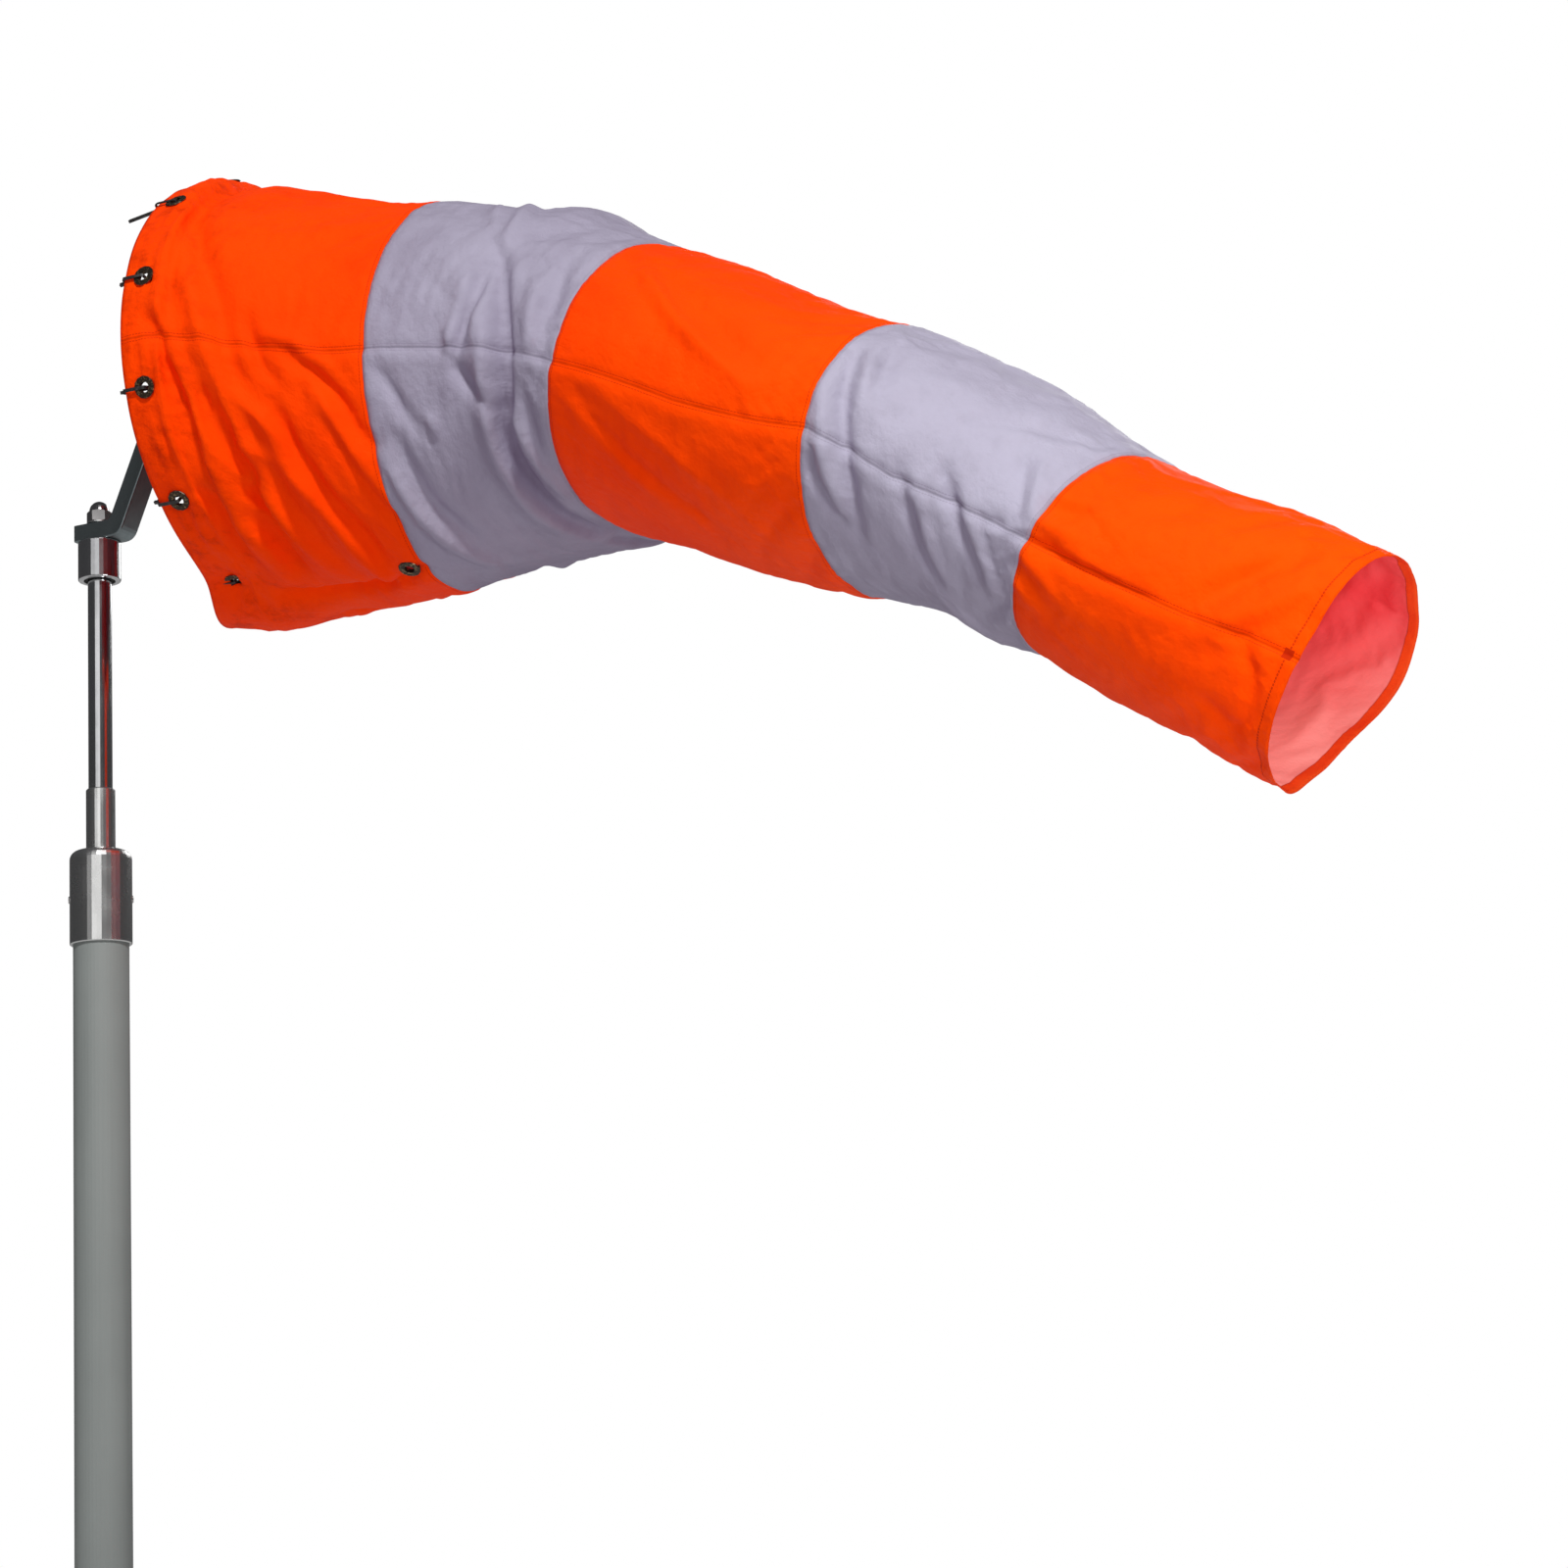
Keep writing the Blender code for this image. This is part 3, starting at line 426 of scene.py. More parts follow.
def settle(start, frames=12):
    """Let the cloth settle under wind pressure and its own weight from its folded start."""
    rows = len(start)
    mesh = bpy.data.meshes.new("settling")
    mesh.from_pydata(start.reshape(-1, 3).tolist(), [], grid_faces(rows, AROUND))
    obj = bpy.data.objects.new("settling", mesh)
    bpy.context.scene.collection.objects.link(obj)
    group = obj.vertex_groups.new(name="hold")
    weights = hold_weights(rows).reshape(-1)
    for value in np.unique(weights):
        group.add([int(i) for i in np.nonzero(weights == value)[0]], float(value), "REPLACE")
    cloth = obj.modifiers.new("Cloth", "CLOTH")
    settings = cloth.settings
    settings.quality = 6
    settings.mass = 0.10
    settings.tension_stiffness = 30.0
    settings.compression_stiffness = 30.0
    settings.shear_stiffness = 10.0
    settings.bending_stiffness = 0.3
    settings.tension_damping = 10.0
    settings.compression_damping = 10.0
    settings.shear_damping = 10.0
    settings.bending_damping = 0.5
    settings.vertex_group_mass = "hold"
    settings.pin_stiffness = 1.0
    settings.shrink_min = -0.004
    settings.effector_weights.gravity = 0.15
    settings.use_pressure = True
    settings.uniform_pressure_force = 0.6
    cloth.collision_settings.use_collision = False
    cloth.point_cache.frame_start = 1
    cloth.point_cache.frame_end = frames
    scene = bpy.context.scene
    for number in range(1, frames + 1):
        scene.frame_set(number)
    evaluated = obj.evaluated_get(bpy.context.evaluated_depsgraph_get())
    settled = np.zeros(rows * AROUND * 3, np.float32)
    evaluated.to_mesh().vertices.foreach_get("co", settled)
    bpy.data.objects.remove(obj, do_unlink=True)
    scene.frame_set(1)
    return settled.reshape(rows, AROUND, 3).astype(float)


# ---- finished cloth -----------------------------------------------------------------------
def halved(grid):
    """The grid with twice the cells each way, along smooth curves through its points."""
    ends = np.concatenate((2 * grid[:1] - grid[1:2], grid, 2 * grid[-1:] - grid[-2:-1]))
    between = (9.0 * (ends[1:-2] + ends[2:-1]) - ends[:-3] - ends[3:]) / 16.0
    rows = np.zeros((2 * len(grid) - 1,) + grid.shape[1:])
    rows[0::2] = grid
    rows[1::2] = between
    after, far, before = np.roll(rows, -1, 1), np.roll(rows, -2, 1), np.roll(rows, 1, 1)
    between = (9.0 * (rows + after) - before - far) / 16.0
    fine = np.zeros((len(rows), 2 * grid.shape[1], 3))
    fine[:, 0::2] = rows
    fine[:, 1::2] = between
    return fine


def seam_gap(cut):
    """Signed distance from the long seam, in metres round the cloth."""
    along, degrees, girth = cut
    places, turns = zip(*LONG_SEAM)
    return (degrees - np.interp(along, places, turns)) / 360.0 * girth


def gathered(cut, pitch, seed):
    """Small puckers of the given pitch, in metres, that run along the sock."""
    _, degrees, girth = cut
    count = np.round(girth.mean() / pitch)
    drift = soft_noise(cut, 0.05, seed)
    return np.sin(2.0 * math.pi * count * degrees / 360.0 + 2.0 * drift) * (0.6 + 0.4 * drift)


def crushed(cut, pitch, seed):
    """Short uneven creases across the sock, the given pitch apart in metres."""
    drift = soft_noise(cut, 0.090, seed)
    waves = np.sin(2.0 * math.pi * cut[0] * BAND_SLANT / pitch + 2.6 * drift)
    return waves * np.clip(0.5 + 0.9 * soft_noise(cut, 0.060, seed + 50), 0.0, 1.2)


def sewn(grid):
    """Adds what sewing and handling do: drawn-in seams, puckers beside them and small creases."""
    cut = cut_places(*grid.shape[:2])
    along = cut[0] * BAND_SLANT
    to_tail = SOCK_LENGTH - along
    shift = np.zeros(along.shape)
    for k in range(1, BAND_COUNT):
        gap = along - k * BAND_SLANT
        shift -= 0.0012 * np.exp(-(gap / 0.004) ** 2)
        shift += 0.00035 * gathered(cut, 0.021, k) * np.exp(-(gap / 0.018) ** 2)
    gap = seam_gap(cut)
    free = hold_ease(cut)
    shift -= 0.0018 * np.exp(-(gap / 0.0040) ** 2) * free
    shift += 0.0016 * np.exp(-((gap - 0.012) / 0.010) ** 2) * free
    pull = np.sin(along / 0.0105 + 1.5 * np.sin(along / 0.037))
    shift += 0.0004 * pull * np.exp(-((np.abs(gap) - 0.008) / 0.008) ** 2) * free
    shift += 0.0006 * gathered(cut, 0.017, 11) * np.exp(-((along - HEM + 0.004) / 0.020) ** 2)
    shift += 0.0019 * crushed(cut, 0.016, 21) * np.exp(-((along - 0.035) / 0.034) ** 2)
    shift += 0.0005 * crushed(cut, 0.024, 22) * free
    shift += 0.0004 * gathered(cut, 0.024, 12) * np.exp(-((to_tail - 0.012) / 0.012) ** 2)
    shift -= 0.0009 * np.exp(-((to_tail - TAIL_HEM) / 0.003) ** 2)
    return grid + outward(grid) * shift[:, :, None]


def drawn_to(grid, spot, reach):
    """The cloth drawn to an eyelet, so that it passes through the middle of its sleeve."""
    gap = np.linalg.norm(grid - spot, axis=2)
    j, k = np.unravel_index(np.argmin(gap), gap.shape)
    pull = np.exp(-(np.linalg.norm(grid - grid[j, k], axis=2) / reach) ** 2)
    return grid + (spot - grid[j, k]) * pull[:, :, None]


def eyelet_spots():
    """The middle of every eyelet, by node name."""
    return {name: np.array((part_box(name)[0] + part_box(name)[1]) / 2.0)
            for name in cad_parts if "eyelet" in name}


def band_cells(rows, spots):
    """Which cells of a band are cloth: all but those inside the eyelets."""
    centres = (rows[1:] + rows[:-1]) / 2.0
    centres = (centres + np.roll(centres, -1, 1)) / 2.0
    cloth = np.ones(centres.shape[:2], bool)
    for spot in spots:
        cloth &= np.linalg.norm(centres - spot, axis=2) > EYELET_HOLE
    return cloth


def band_mesh(name, rows, normals, cloth, cut):
    """One band as thin cloth: outside, inside, and the edges between them."""
    count, around = rows.shape[:2]
    layer = count * around
    points = np.concatenate(((rows + normals * CLOTH / 2).reshape(-1, 3),
                             (rows - normals * CLOTH / 2).reshape(-1, 3)))
    faces = []
    inner = []
    for j in range(count - 1):
        for k in range(around):
            ahead = (k + 1) % around
            corners = (j * around + k, j * around + ahead, (j + 1) * around + ahead,
                       (j + 1) * around + k)
            if not cloth[j, k]:
                continue
            faces.append(corners)
            inner.append(0)
            faces.append(tuple(corners[turn] + layer for turn in (0, 3, 2, 1)))
            inner.append(1)
            beside = ((j - 1, k, 0, 1), (j, ahead, 1, 2), (j + 1, k, 2, 3),
                      (j, (k - 1) % around, 3, 0))
            for row, column, a, b in beside:
                if 0 <= row < count - 1 and cloth[row, column]:
                    continue
                faces.append((corners[b], corners[a], corners[a] + layer, corners[b] + layer))
                inner.append(0)
    mesh = bpy.data.meshes.new(name)
    mesh.from_pydata(points.tolist(), [], faces)
    mesh.polygons.foreach_set("use_smooth", np.ones(len(faces), bool))
    mesh.polygons.foreach_set("material_index", np.array(inner, np.int32))
    along, degrees, girth = cut
    places = {"along": along * BAND_SLANT, "round": degrees / 360.0 * girth,
              "seam_gap": seam_gap(cut)}
    for key, values in places.items():
        layer_values = mesh.attributes.new(key, "FLOAT", "POINT")
        doubled = np.concatenate((values.reshape(-1), values.reshape(-1)))
        layer_values.data.foreach_set("value", doubled.astype(np.float32))
    mesh.validate()
    mesh.update()
    return mesh


def bend_band(cloth):
    """The band's placement is baked into its mesh."""
    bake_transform(cloth)


def make_bands(colours):
    """The sock in five pieces of cloth: the first on the head's body, the others with their
    placement baked in.
    """
    base = folded(sock_base())
    grid = halved(settle(base))
    places = cut_places(*grid.shape[:2])
    crisp = all_folds(places, True) + drag_lines(places) * hold_ease(places)
    grid = sewn(sagged(grid + outward(grid) * crisp[:, :, None]))
    spots = eyelet_spots()
    for name, spot in spots.items():
        grid = drawn_to(grid, spot, reach=0.035 if name == "drain_eyelet" else 0.018)
    normals = soft_normals(grid)
    fine = 2 * ALONG
    for k in range(BAND_COUNT):
        part = slice(k * fine, (k + 1) * fine + 1)
        name = f"band_{k + 1}"
        mesh = band_mesh(name, grid[part], normals[part], band_cells(grid[part], spots.values()),
                         [values[part] for values in places])
        cloth = bpy.data.objects.new(f"cloth_{name}", mesh)
        bpy.context.scene.collection.objects.link(cloth)
        outside, inside, slot = colours[k % 2]
        mesh.materials.append(outside)
        mesh.materials.append(inside)
        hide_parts(name)
        if k == 0:
            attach(cloth, "head")
            continue
        bend_band(cloth)


# ---- materials ----------------------------------------------------------------------------
class Nodes:
    """One material's node tree, built step by step; most methods return an output socket."""

    def __init__(self, name):
        self.material = bpy.data.materials.new(name)
        self.material.use_nodes = True
        self.tree = self.material.node_tree
        self.surface = self.tree.nodes["Principled BSDF"]
        self.output = self.tree.nodes["Material Output"]

    def put(self, socket, value):
        """Link a socket to an input, or write a plain value in it."""
        if isinstance(value, bpy.types.NodeSocket):
            self.tree.links.new(value, socket)
        else:
            socket.default_value = value

    def add(self, kind, output=0, settings=(), **inputs):
        """A node with its properties and inputs set; an underscore stands for a space."""
        node = self.tree.nodes.new(kind)
        for key, value in settings:
            setattr(node, key, value)
        for key, value in inputs.items():
            self.put(node.inputs[key.replace("_", " ")], value)
        return node.outputs[output]

    def math(self, operation, a, b=0.0, c=0.0):
        node = self.tree.nodes.new("ShaderNodeMath")
        node.operation = operation
        for socket, value in zip(node.inputs, (a, b, c)):
            self.put(socket, value)
        return node.outputs[0]

    def value(self, attribute):
        """A float stored on the mesh."""
        return self.add("ShaderNodeAttribute", 2, [("attribute_name", attribute)])

    def object_place(self):
        """Object coordinates."""
        return self.add("ShaderNodeTexCoord", 3)

    def noise(self, scale, detail=3.0, place=None, roughness=0.55):
        place = place or self.object_place()
        return self.add("ShaderNodeTexNoise", 0, (), Vector=place, Scale=scale, Detail=detail,
                        Roughness=roughness)

    def stretched(self, x, y, z):
        return self.add("ShaderNodeMapping", 0, (), Vector=self.object_place(), Scale=(x, y, z))

    def ramp(self, value, low, high, start=0.0, end=1.0):
        return self.add("ShaderNodeMapRange", 0, [("interpolation_type", "SMOOTHSTEP")],
                        Value=value, From_Min=low, From_Max=high, To_Min=start, To_Max=end)

    def mix(self, factor, a, b, blend="MIX"):
        node = self.tree.nodes.new("ShaderNodeMix")
        node.data_type = "RGBA"
        node.blend_type = blend
        for place, value in ((0, factor), (6, a), (7, b)):
            self.put(node.inputs[place], value)
        return node.outputs[2]

    def bump(self, height, distance, strength=1.0, below=None):
        node = self.tree.nodes.new("ShaderNodeBump")
        node.inputs["Distance"].default_value = distance
        self.put(node.inputs["Strength"], strength)
        self.put(node.inputs["Height"], height)
        if below is not None:
            self.put(node.inputs["Normal"], below)
        return node.outputs[0]

    def set(self, **inputs):
        for key, value in inputs.items():
            self.put(self.surface.inputs[key.replace("_", " ")], value)


def near_line(nodes, value, place, half):
    """1 within half of place, 0 outside."""
    gap = nodes.math("ABSOLUTE", nodes.math("SUBTRACT", value, place))
    return nodes.math("LESS_THAN", gap, half)


def dashes(nodes, value, gap=0.28):
    """1 on each stitch along a row, 0 in the gaps between stitches."""
    place = nodes.math("FRACT", nodes.math("DIVIDE", value, STITCH))
    return nodes.math("GREATER_THAN", place, gap)


def stitches(nodes, along, round_it, seam_gap):
    """Stitches along the hems, the band seams and the long seam, and the tail's bar-tack."""
    # Each row: its place along the sock, half the thread's width, and how strongly it shows.
    crosswise = [(HEM - STITCH_ROW, 0.0004, 0.25)]
    crosswise += [(k * BAND_SLANT + offset, 0.0005, 1.0) for k in range(1, BAND_COUNT)
                  for offset in (-STITCH_ROW, STITCH_ROW)]
    crosswise.append((SOCK_LENGTH - TAIL_HEM, 0.0010, 1.2))
    dash = dashes(nodes, round_it)
    rows = []
    for place, half, weight in crosswise:
        row = nodes.math("MULTIPLY", near_line(nodes, along, place, half), dash)
        rows.append(nodes.math("MULTIPLY", row, weight))
    dash = dashes(nodes, along)
    for place in (-0.0035, 0.0035):
        rows.append(nodes.math("MULTIPLY", near_line(nodes, seam_gap, place, 0.0005), dash))
    thread = rows[0]
    for row in rows[1:]:
        thread = nodes.math("MAXIMUM", thread, row)
    tack = nodes.math("MULTIPLY", near_line(nodes, seam_gap, 0.0, 0.005),
                      near_line(nodes, along, SOCK_LENGTH - TAIL_HEM, 0.005))
    return nodes.math("MAXIMUM", thread, nodes.math("MULTIPLY", tack, 1.4))


def scaled(colour, share):
    """The colour made darker, or paler with a share over 1, and opaque."""
    return tuple(min(1.0, share * c) for c in colour[:3]) + (1.0,)


def cloth_material(name, lit, deep, thread, glow, rough, through, glow_colour):
    """Coated woven polyester: weave, crinkle, stitches, dark mottling near the mouth, a faint
    painted glow that lifts its shade, light through it.
    """
    nodes = Nodes(name)
    along, round_it = nodes.value("along"), nodes.value("round")
    seam = nodes.value("seam_gap")
    place = nodes.add("ShaderNodeCombineXYZ", 0, (), X=along, Y=round_it)
    blotch = nodes.ramp(nodes.noise(7.0, 4.0, place), 0.35, 0.70, 0.0, 0.35)
    used = nodes.ramp(along, 0.95, 0.55, 0.0, 0.65)
    colour = nodes.mix(nodes.math("ADD", blotch, used), lit, deep)
    seam_dark = nodes.ramp(nodes.math("ABSOLUTE", seam), 0.0004, 0.0020, 0.50, 0.0)
    colour = nodes.mix(seam_dark, colour, scaled(deep, 0.35))
    sewn_rows = stitches(nodes, along, round_it, seam)
    colour = nodes.mix(nodes.math("MULTIPLY", sewn_rows, 0.55), colour, thread)
    # Dark mottling that grows towards the mouth's edge.
    near_mouth = nodes.ramp(along, 0.16, 0.03, 0.12, 0.85)
    hem_mottle = nodes.math("MULTIPLY", near_mouth,
                      nodes.ramp(nodes.noise(28.0, 6.0, place, 0.7), 0.46, 0.72))
    colour = nodes.mix(hem_mottle, colour, scaled(deep, 0.55))
    warp = nodes.math("SINE", nodes.math("MULTIPLY", along, 2.0 * math.pi / WEAVE))
    weft = nodes.math("SINE", nodes.math("MULTIPLY", round_it, 2.0 * math.pi / WEAVE))
    weave = nodes.math("MULTIPLY", warp, weft)
    crinkle = nodes.bump(nodes.noise(34.0, 5.0, place, 0.6), 0.0045, 0.50)
    creased = nodes.bump(nodes.noise(110.0, 3.0, place), 0.0018, 0.6, crinkle)
    threads = nodes.bump(weave, 0.00008, 0.4, creased)
    normal = nodes.bump(sewn_rows, 0.0004, 0.7, threads)
    # The emission is painted light: a faint glow that lifts the shaded cloth, red on the orange
    # and purple on the white.
    nodes.set(Base_Color=colour, Roughness=nodes.ramp(blotch, 0.0, 1.0, rough, rough + 0.12),
              Normal=normal, Specular_IOR_Level=0.16, Specular_Tint=colour,
              Emission_Color=glow_colour, Emission_Strength=glow)
    light = nodes.add("ShaderNodeBsdfTranslucent", 0, (), Color=colour, Normal=normal)
    both = nodes.tree.nodes.new("ShaderNodeMixShader")
    both.inputs[0].default_value = through
    nodes.tree.links.new(nodes.surface.outputs[0], both.inputs[1])
    nodes.tree.links.new(light, both.inputs[2])
    nodes.tree.links.new(both.outputs[0], nodes.output.inputs["Surface"])
    return nodes.material


def inside_material(name, deep, low, rim, glow, glow_colours):
    """The cloth's inside: painted light takes it from the shaded deep colour to the lit low one
    towards the tail's opening, with a painted glow; rim is the hem.
    """
    nodes = Nodes(name)
    along, round_it = nodes.value("along"), nodes.value("round")
    place = nodes.add("ShaderNodeCombineXYZ", 0, (), X=along, Y=round_it)
    # Painted light: the inside turns paler and glows pinker towards the tail's opening, fading
    # out over the +Y side.
    outer = nodes.ramp(along, SOCK_LENGTH - 0.30, SOCK_LENGTH - 0.02)
    under = nodes.ramp(round_it, 0.90 * math.pi * TAIL_D, 0.60 * math.pi * TAIL_D)
    pale = nodes.math("MULTIPLY", outer, nodes.math("MULTIPLY_ADD", under, 0.9, 0.1))
    blotch = nodes.math("MULTIPLY_ADD", nodes.noise(9.0, 4.0, place), 0.5, -0.25)
    pale = nodes.math("ADD", pale, blotch)
    colour = nodes.mix(pale, deep, low)
    turned = nodes.math("GREATER_THAN", along, SOCK_LENGTH - TAIL_HEM)
    colour = nodes.mix(turned, colour, rim)
    # The emission colour is a painted glow: crimson where the inside is shaded, pink where it is
    # lit.
    lit = nodes.mix(outer, scaled(glow_colours[0], 0.22), nodes.mix(pale, *glow_colours))
    edge = near_line(nodes, along, SOCK_LENGTH - TAIL_HEM, 0.0008)
    colour = nodes.mix(nodes.math("MULTIPLY", edge, 0.5), colour, scaled(rim, 0.4))
    crinkle = nodes.bump(nodes.noise(34.0, 5.0, place, 0.6), 0.004, 0.6)
    nodes.set(Base_Color=colour, Roughness=0.62, Normal=nodes.bump(turned, 0.0008, 0.8, crinkle),
              Specular_IOR_Level=0.15, Emission_Strength=glow,
              Emission_Color=nodes.mix(turned, lit, glow_colours[0]))
    return nodes.material


def steel_material(name, tint, rough, turned=0.0, aged=0.25):
    """Stainless steel with dull patches and faint turning lines, which turned makes stronger."""
    nodes = Nodes(name)
    patch = nodes.ramp(nodes.noise(22.0, 5.0), 0.35, 0.75)
    worn = scaled(tint, 1.0 - aged)
    rings = nodes.noise(1.0, 2.0, nodes.stretched(0.0, 0.0, 260.0))
    fine = nodes.bump(rings, 0.00002, 0.02 + turned)
    nodes.set(Base_Color=nodes.mix(patch, tint, worn), Metallic=1.0, Normal=fine,
              Roughness=nodes.ramp(patch, 0.0, 1.0, rough, rough + 0.06))
    return nodes.material


def paint_material(name, colour, rough):
    """Powder coat on the mast: fine orange peel, with faint rain streaks and chalky patches."""
    nodes = Nodes(name)
    streak = nodes.ramp(nodes.noise(1.0, 5.0, nodes.stretched(70.0, 70.0, 1.6)), 0.45, 0.80)
    chalk = nodes.ramp(nodes.noise(5.0, 6.0), 0.35, 0.75)
    tone = nodes.mix(chalk, colour, scaled(colour, 1.10))
    tone = nodes.mix(nodes.math("MULTIPLY", streak, 0.55), tone, scaled(colour, 0.80))
    peel = nodes.bump(nodes.noise(900.0, 2.0), 0.00012, 0.5)
    nodes.set(Base_Color=tone, Roughness=nodes.ramp(chalk, 0.0, 1.0, rough, rough + 0.12),
              Normal=peel, Specular_IOR_Level=0.4)
    return nodes.material


def brass_material(name):
    """Blackened brass, rubbed bright in places."""
    nodes = Nodes(name)
    rubbed = nodes.ramp(nodes.noise(420.0, 4.0), 0.50, 0.72)
    colour = nodes.mix(rubbed, (0.055, 0.040, 0.030, 1.0), (0.42, 0.30, 0.16, 1.0))
    nodes.set(Base_Color=colour, Metallic=0.9, Roughness=nodes.ramp(rubbed, 0.0, 1.0, 0.46, 0.30),
              Normal=nodes.bump(nodes.noise(900.0, 2.0), 0.0001, 0.4))
    return nodes.material


def dull_material(name, colour, rough, grain, depth):
    """Rubber or nylon: a fine grain, and paler where it is worn."""
    nodes = Nodes(name)
    worn = nodes.ramp(nodes.noise(grain * 0.2, 4.0), 0.45, 0.8)
    pale = tuple(c + 0.05 for c in colour[:3]) + (1.0,)
    nodes.set(Base_Color=nodes.mix(worn, colour, pale), Roughness=rough,
              Normal=nodes.bump(nodes.noise(grain, 3.0), depth, 0.6))
    return nodes.material


ORANGE = (0.95, 0.088, 0.001, 1.0)
ORANGE_DEEP = (0.90, 0.056, 0.001, 1.0)
# Painted glow: a red emission that stands in for the cloth's fluorescence and reddens its shaded
# side.
PAINTED_RED_GLOW = (1.0, 0.004, 0.0, 1.0)
WHITE = (0.46, 0.445, 0.54, 1.0)
WHITE_DEEP = (0.34, 0.32, 0.40, 1.0)


def cloth_colours():
    """Outside and inside material and record slot of the odd and the even bands."""
    orange = cloth_material("orange_polyester", ORANGE, ORANGE_DEEP, (0.32, 0.010, 0.003, 1.0),
                            0.16, 0.50, 0.18, PAINTED_RED_GLOW)
    # The white's purple emission is a painted glow that tints its shaded side purple.
    white = cloth_material("white_polyester", WHITE, WHITE_DEEP, (0.30, 0.28, 0.36, 1.0),
                           0.035, 0.42, 0.16, (0.55, 0.0, 0.60, 1.0))
    # The inside's deep and low colours are shaded and lit copies of one backing: crimson for
    # painted shade, pink for painted light.
    orange_back = inside_material("orange_inside", (0.95, 0.10, 0.11, 1.0),
                                  (0.95, 0.32, 0.30, 1.0), ORANGE, 0.30,
                                  ((0.40, 0.005, 0.016, 1.0), (1.0, 0.36, 0.31, 1.0)))
    white_back = inside_material("white_inside", (0.62, 0.58, 0.66, 1.0),
                                 (0.56, 0.53, 0.62, 1.0), WHITE, 0.0, (WHITE, WHITE))
    return (orange, orange_back, "orange_cloth"), (white, white_back, "white_cloth")


def dress_frame():
    """Better materials for the CAD nodes that stay in view."""
    paint = paint_material("mast_powder_coat", (0.235, 0.253, 0.244, 1.0), 0.50)
    rod = steel_material("polished_stainless", (0.62, 0.62, 0.63, 1.0), 0.13, 0.0, 0.12)
    turned = steel_material("turned_stainless", (0.74, 0.74, 0.73, 1.0), 0.24, 0.04, 0.12)
    bar = steel_material("milled_bar", (0.26, 0.30, 0.31, 1.0), 0.36, 0.1, 0.30)
    nut = steel_material("nut_stainless", (0.52, 0.50, 0.50, 1.0), 0.10)
    bearing = steel_material("bearing_steel", (0.66, 0.66, 0.66, 1.0), 0.20)
    rubber = dull_material("seal_rubber", (0.018, 0.018, 0.018, 1.0), 0.62, 700.0, 0.0002)
    nylon = dull_material("tie_nylon", (0.016, 0.012, 0.012, 1.0), 0.48, 1200.0, 0.0001)
    looks = {"base_flange": paint, "gusset": paint, "mast_tube": paint, "mast_sleeve": turned,
             "grub_screw": nut, "spigot": turned, "spindle_rod": rod, "dome_nut": nut,
             "top_washer": turned, "hub_collar": rod, "hub_seal": rubber, "carrier_arm": bar,
             "mouth_ring": bar, "eyelet": brass_material("blackened_brass"), "tie": nylon}
    for name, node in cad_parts.items():
        plain = name.rstrip("0123456789").rstrip("_").replace("drain_", "")
        material = looks.get(plain, bearing)
        for slot in node.material_slots:
            slot.material = material


def smooth_by_angle(limit=math.radians(32.0)):
    """The CAD nodes shaded smooth, but sharp across edges steeper than the limit."""
    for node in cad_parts.values():
        mesh = node.data
        mesh.polygons.foreach_set("use_smooth", np.ones(len(mesh.polygons), bool))
        mesh.set_sharp_from_angle(angle=limit)


# ---- studio -------------------------------------------------------------------------------
def soft_light(name, spot, aim, width, height, power, spread=180.0):
    """A white soft box at spot that faces aim; power in watts, spread in degrees."""
    lamp = bpy.data.lights.new(name, "AREA")
    lamp.shape = "RECTANGLE"
    lamp.size, lamp.size_y = width, height
    lamp.energy = power
    lamp.spread = math.radians(spread)
    light = bpy.data.objects.new(name, lamp)
    light.location = spot
    light.rotation_euler = (Vector(aim) - Vector(spot)).to_track_quat("-Z", "Y").to_euler()
    bpy.context.scene.collection.objects.link(light)


def make_floor(size=12.0):
    """A plain pale floor under the mast's foot, size metres each way from the mast."""
    nodes = Nodes("studio_floor")
    tone = nodes.mix(nodes.noise(0.8, 3.0), (0.25, 0.25, 0.25, 1.0), (0.28, 0.28, 0.28, 1.0))
    nodes.set(Base_Color=tone, Roughness=0.9, Emission_Color=(1.0, 1.0, 1.0, 1.0),
              Emission_Strength=0.38)
    mesh = bpy.data.meshes.new("floor")
    mesh.from_pydata([(-size, -size, 0), (size, -size, 0), (size, size, 0), (-size, size, 0)],
                     [], [(0, 1, 2, 3)])
    mesh.materials.append(nodes.material)
    floor = bpy.data.objects.new("floor", mesh)
    bpy.context.scene.collection.objects.link(floor)


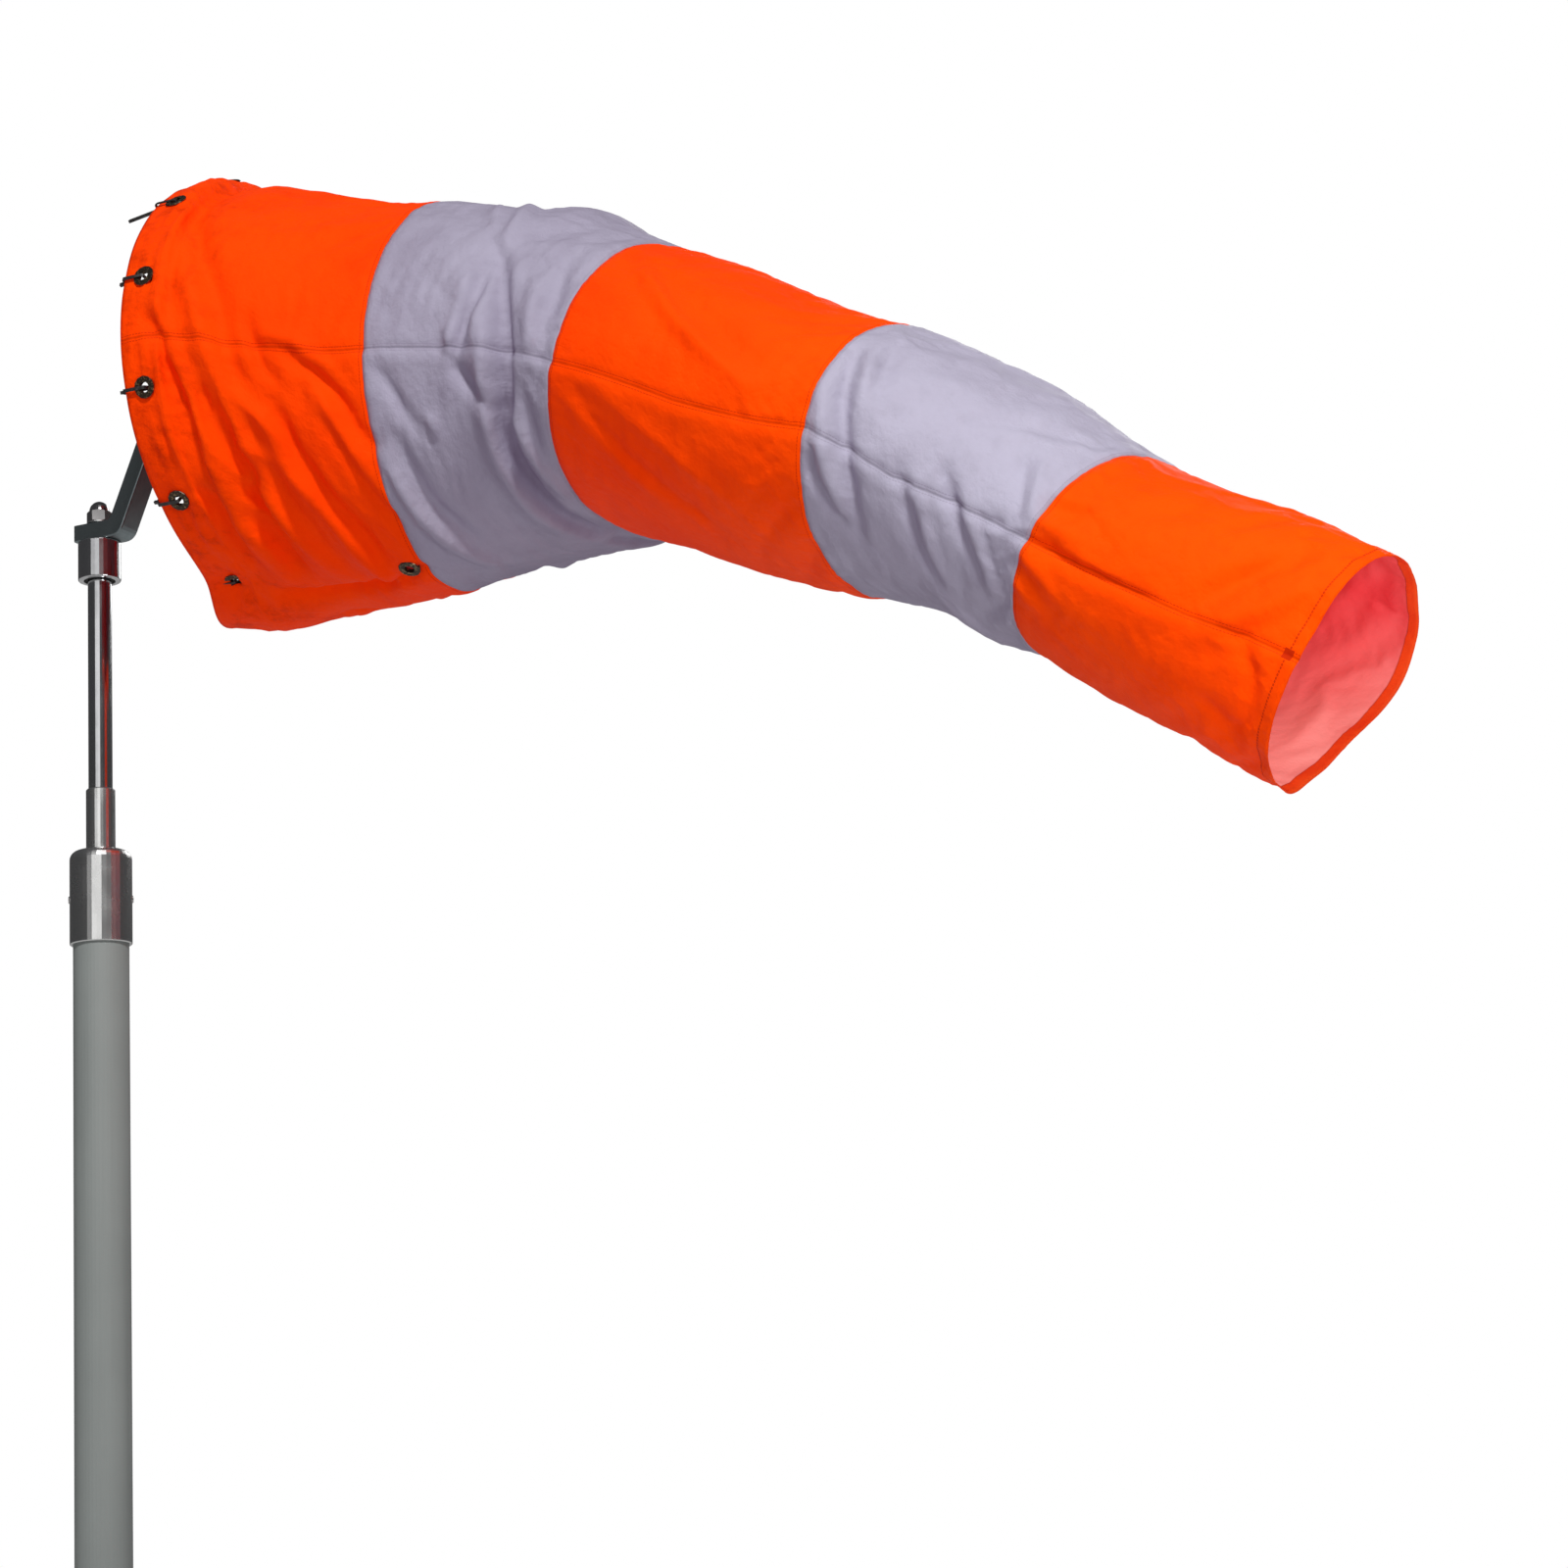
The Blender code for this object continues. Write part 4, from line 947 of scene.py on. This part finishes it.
def make_world(ambient=0.12, mirrored=0.07):
    """White behind the object, and a softer, greyer surround for its light and reflections."""
    world = bpy.data.worlds.new("studio")
    bpy.context.scene.world = world
    world.use_nodes = True
    tree = world.node_tree
    seen, lit = tree.nodes["Background"], tree.nodes.new("ShaderNodeBackground")
    seen.inputs["Color"].default_value = (1.0, 1.0, 1.0, 1.0)
    place = tree.nodes.new("ShaderNodeTexCoord")
    split = tree.nodes.new("ShaderNodeSeparateXYZ")
    tree.links.new(place.outputs["Generated"], split.inputs[0])
    ramp = tree.nodes.new("ShaderNodeValToRGB")
    height = tree.nodes.new("ShaderNodeMapRange")
    height.inputs["From Min"].default_value = -1.0
    tree.links.new(split.outputs["Z"], height.inputs["Value"])
    tree.links.new(height.outputs[0], ramp.inputs[0])
    ramp.color_ramp.elements[0].color = (0.55, 0.52, 0.50, 1.0)
    ramp.color_ramp.elements[0].position = 0.35
    ramp.color_ramp.elements[1].color = (1.0, 1.02, 1.08, 1.0)
    ramp.color_ramp.elements[1].position = 0.75
    tree.links.new(ramp.outputs[0], lit.inputs["Color"])
    path = tree.nodes.new("ShaderNodeLightPath")
    dimmed = tree.nodes.new("ShaderNodeMapRange")
    dimmed.inputs["To Min"].default_value = ambient
    dimmed.inputs["To Max"].default_value = mirrored
    tree.links.new(path.outputs["Is Glossy Ray"], dimmed.inputs["Value"])
    tree.links.new(dimmed.outputs[0], lit.inputs["Strength"])
    both = tree.nodes.new("ShaderNodeMixShader")
    tree.links.new(path.outputs["Is Camera Ray"], both.inputs[0])
    tree.links.new(lit.outputs[0], both.inputs[1])
    tree.links.new(seen.outputs[0], both.inputs[2])
    tree.links.new(both.outputs[0], tree.nodes["World Output"].inputs["Surface"])
    bpy.context.scene.view_settings.view_transform = "Standard"


def make_lights():
    """Key from high up, weak fills at the front and at the tail, and one behind."""
    soft_light("key", (2.5, -3.45, 5.9), (0.8, 0.0, 2.6), 0.5, 0.5, 265.0)
    soft_light("front", (1.00, -3.90, 3.1), (0.0, 0.0, 2.4), 2.8, 1.7, 15.0)
    soft_light("tail", (2.5, -1.3, 1.9), (1.32, -0.1, 2.35), 0.5, 0.5, 1.3, 55.0)
    soft_light("back", (0.5, 5.0, 5.0), (0.8, 0.0, 2.6), 3.0, 2.0, 60.0)


make_camera()
smooth_by_angle()
dress_frame()
make_bands(cloth_colours())
make_floor()
make_world()
make_lights()
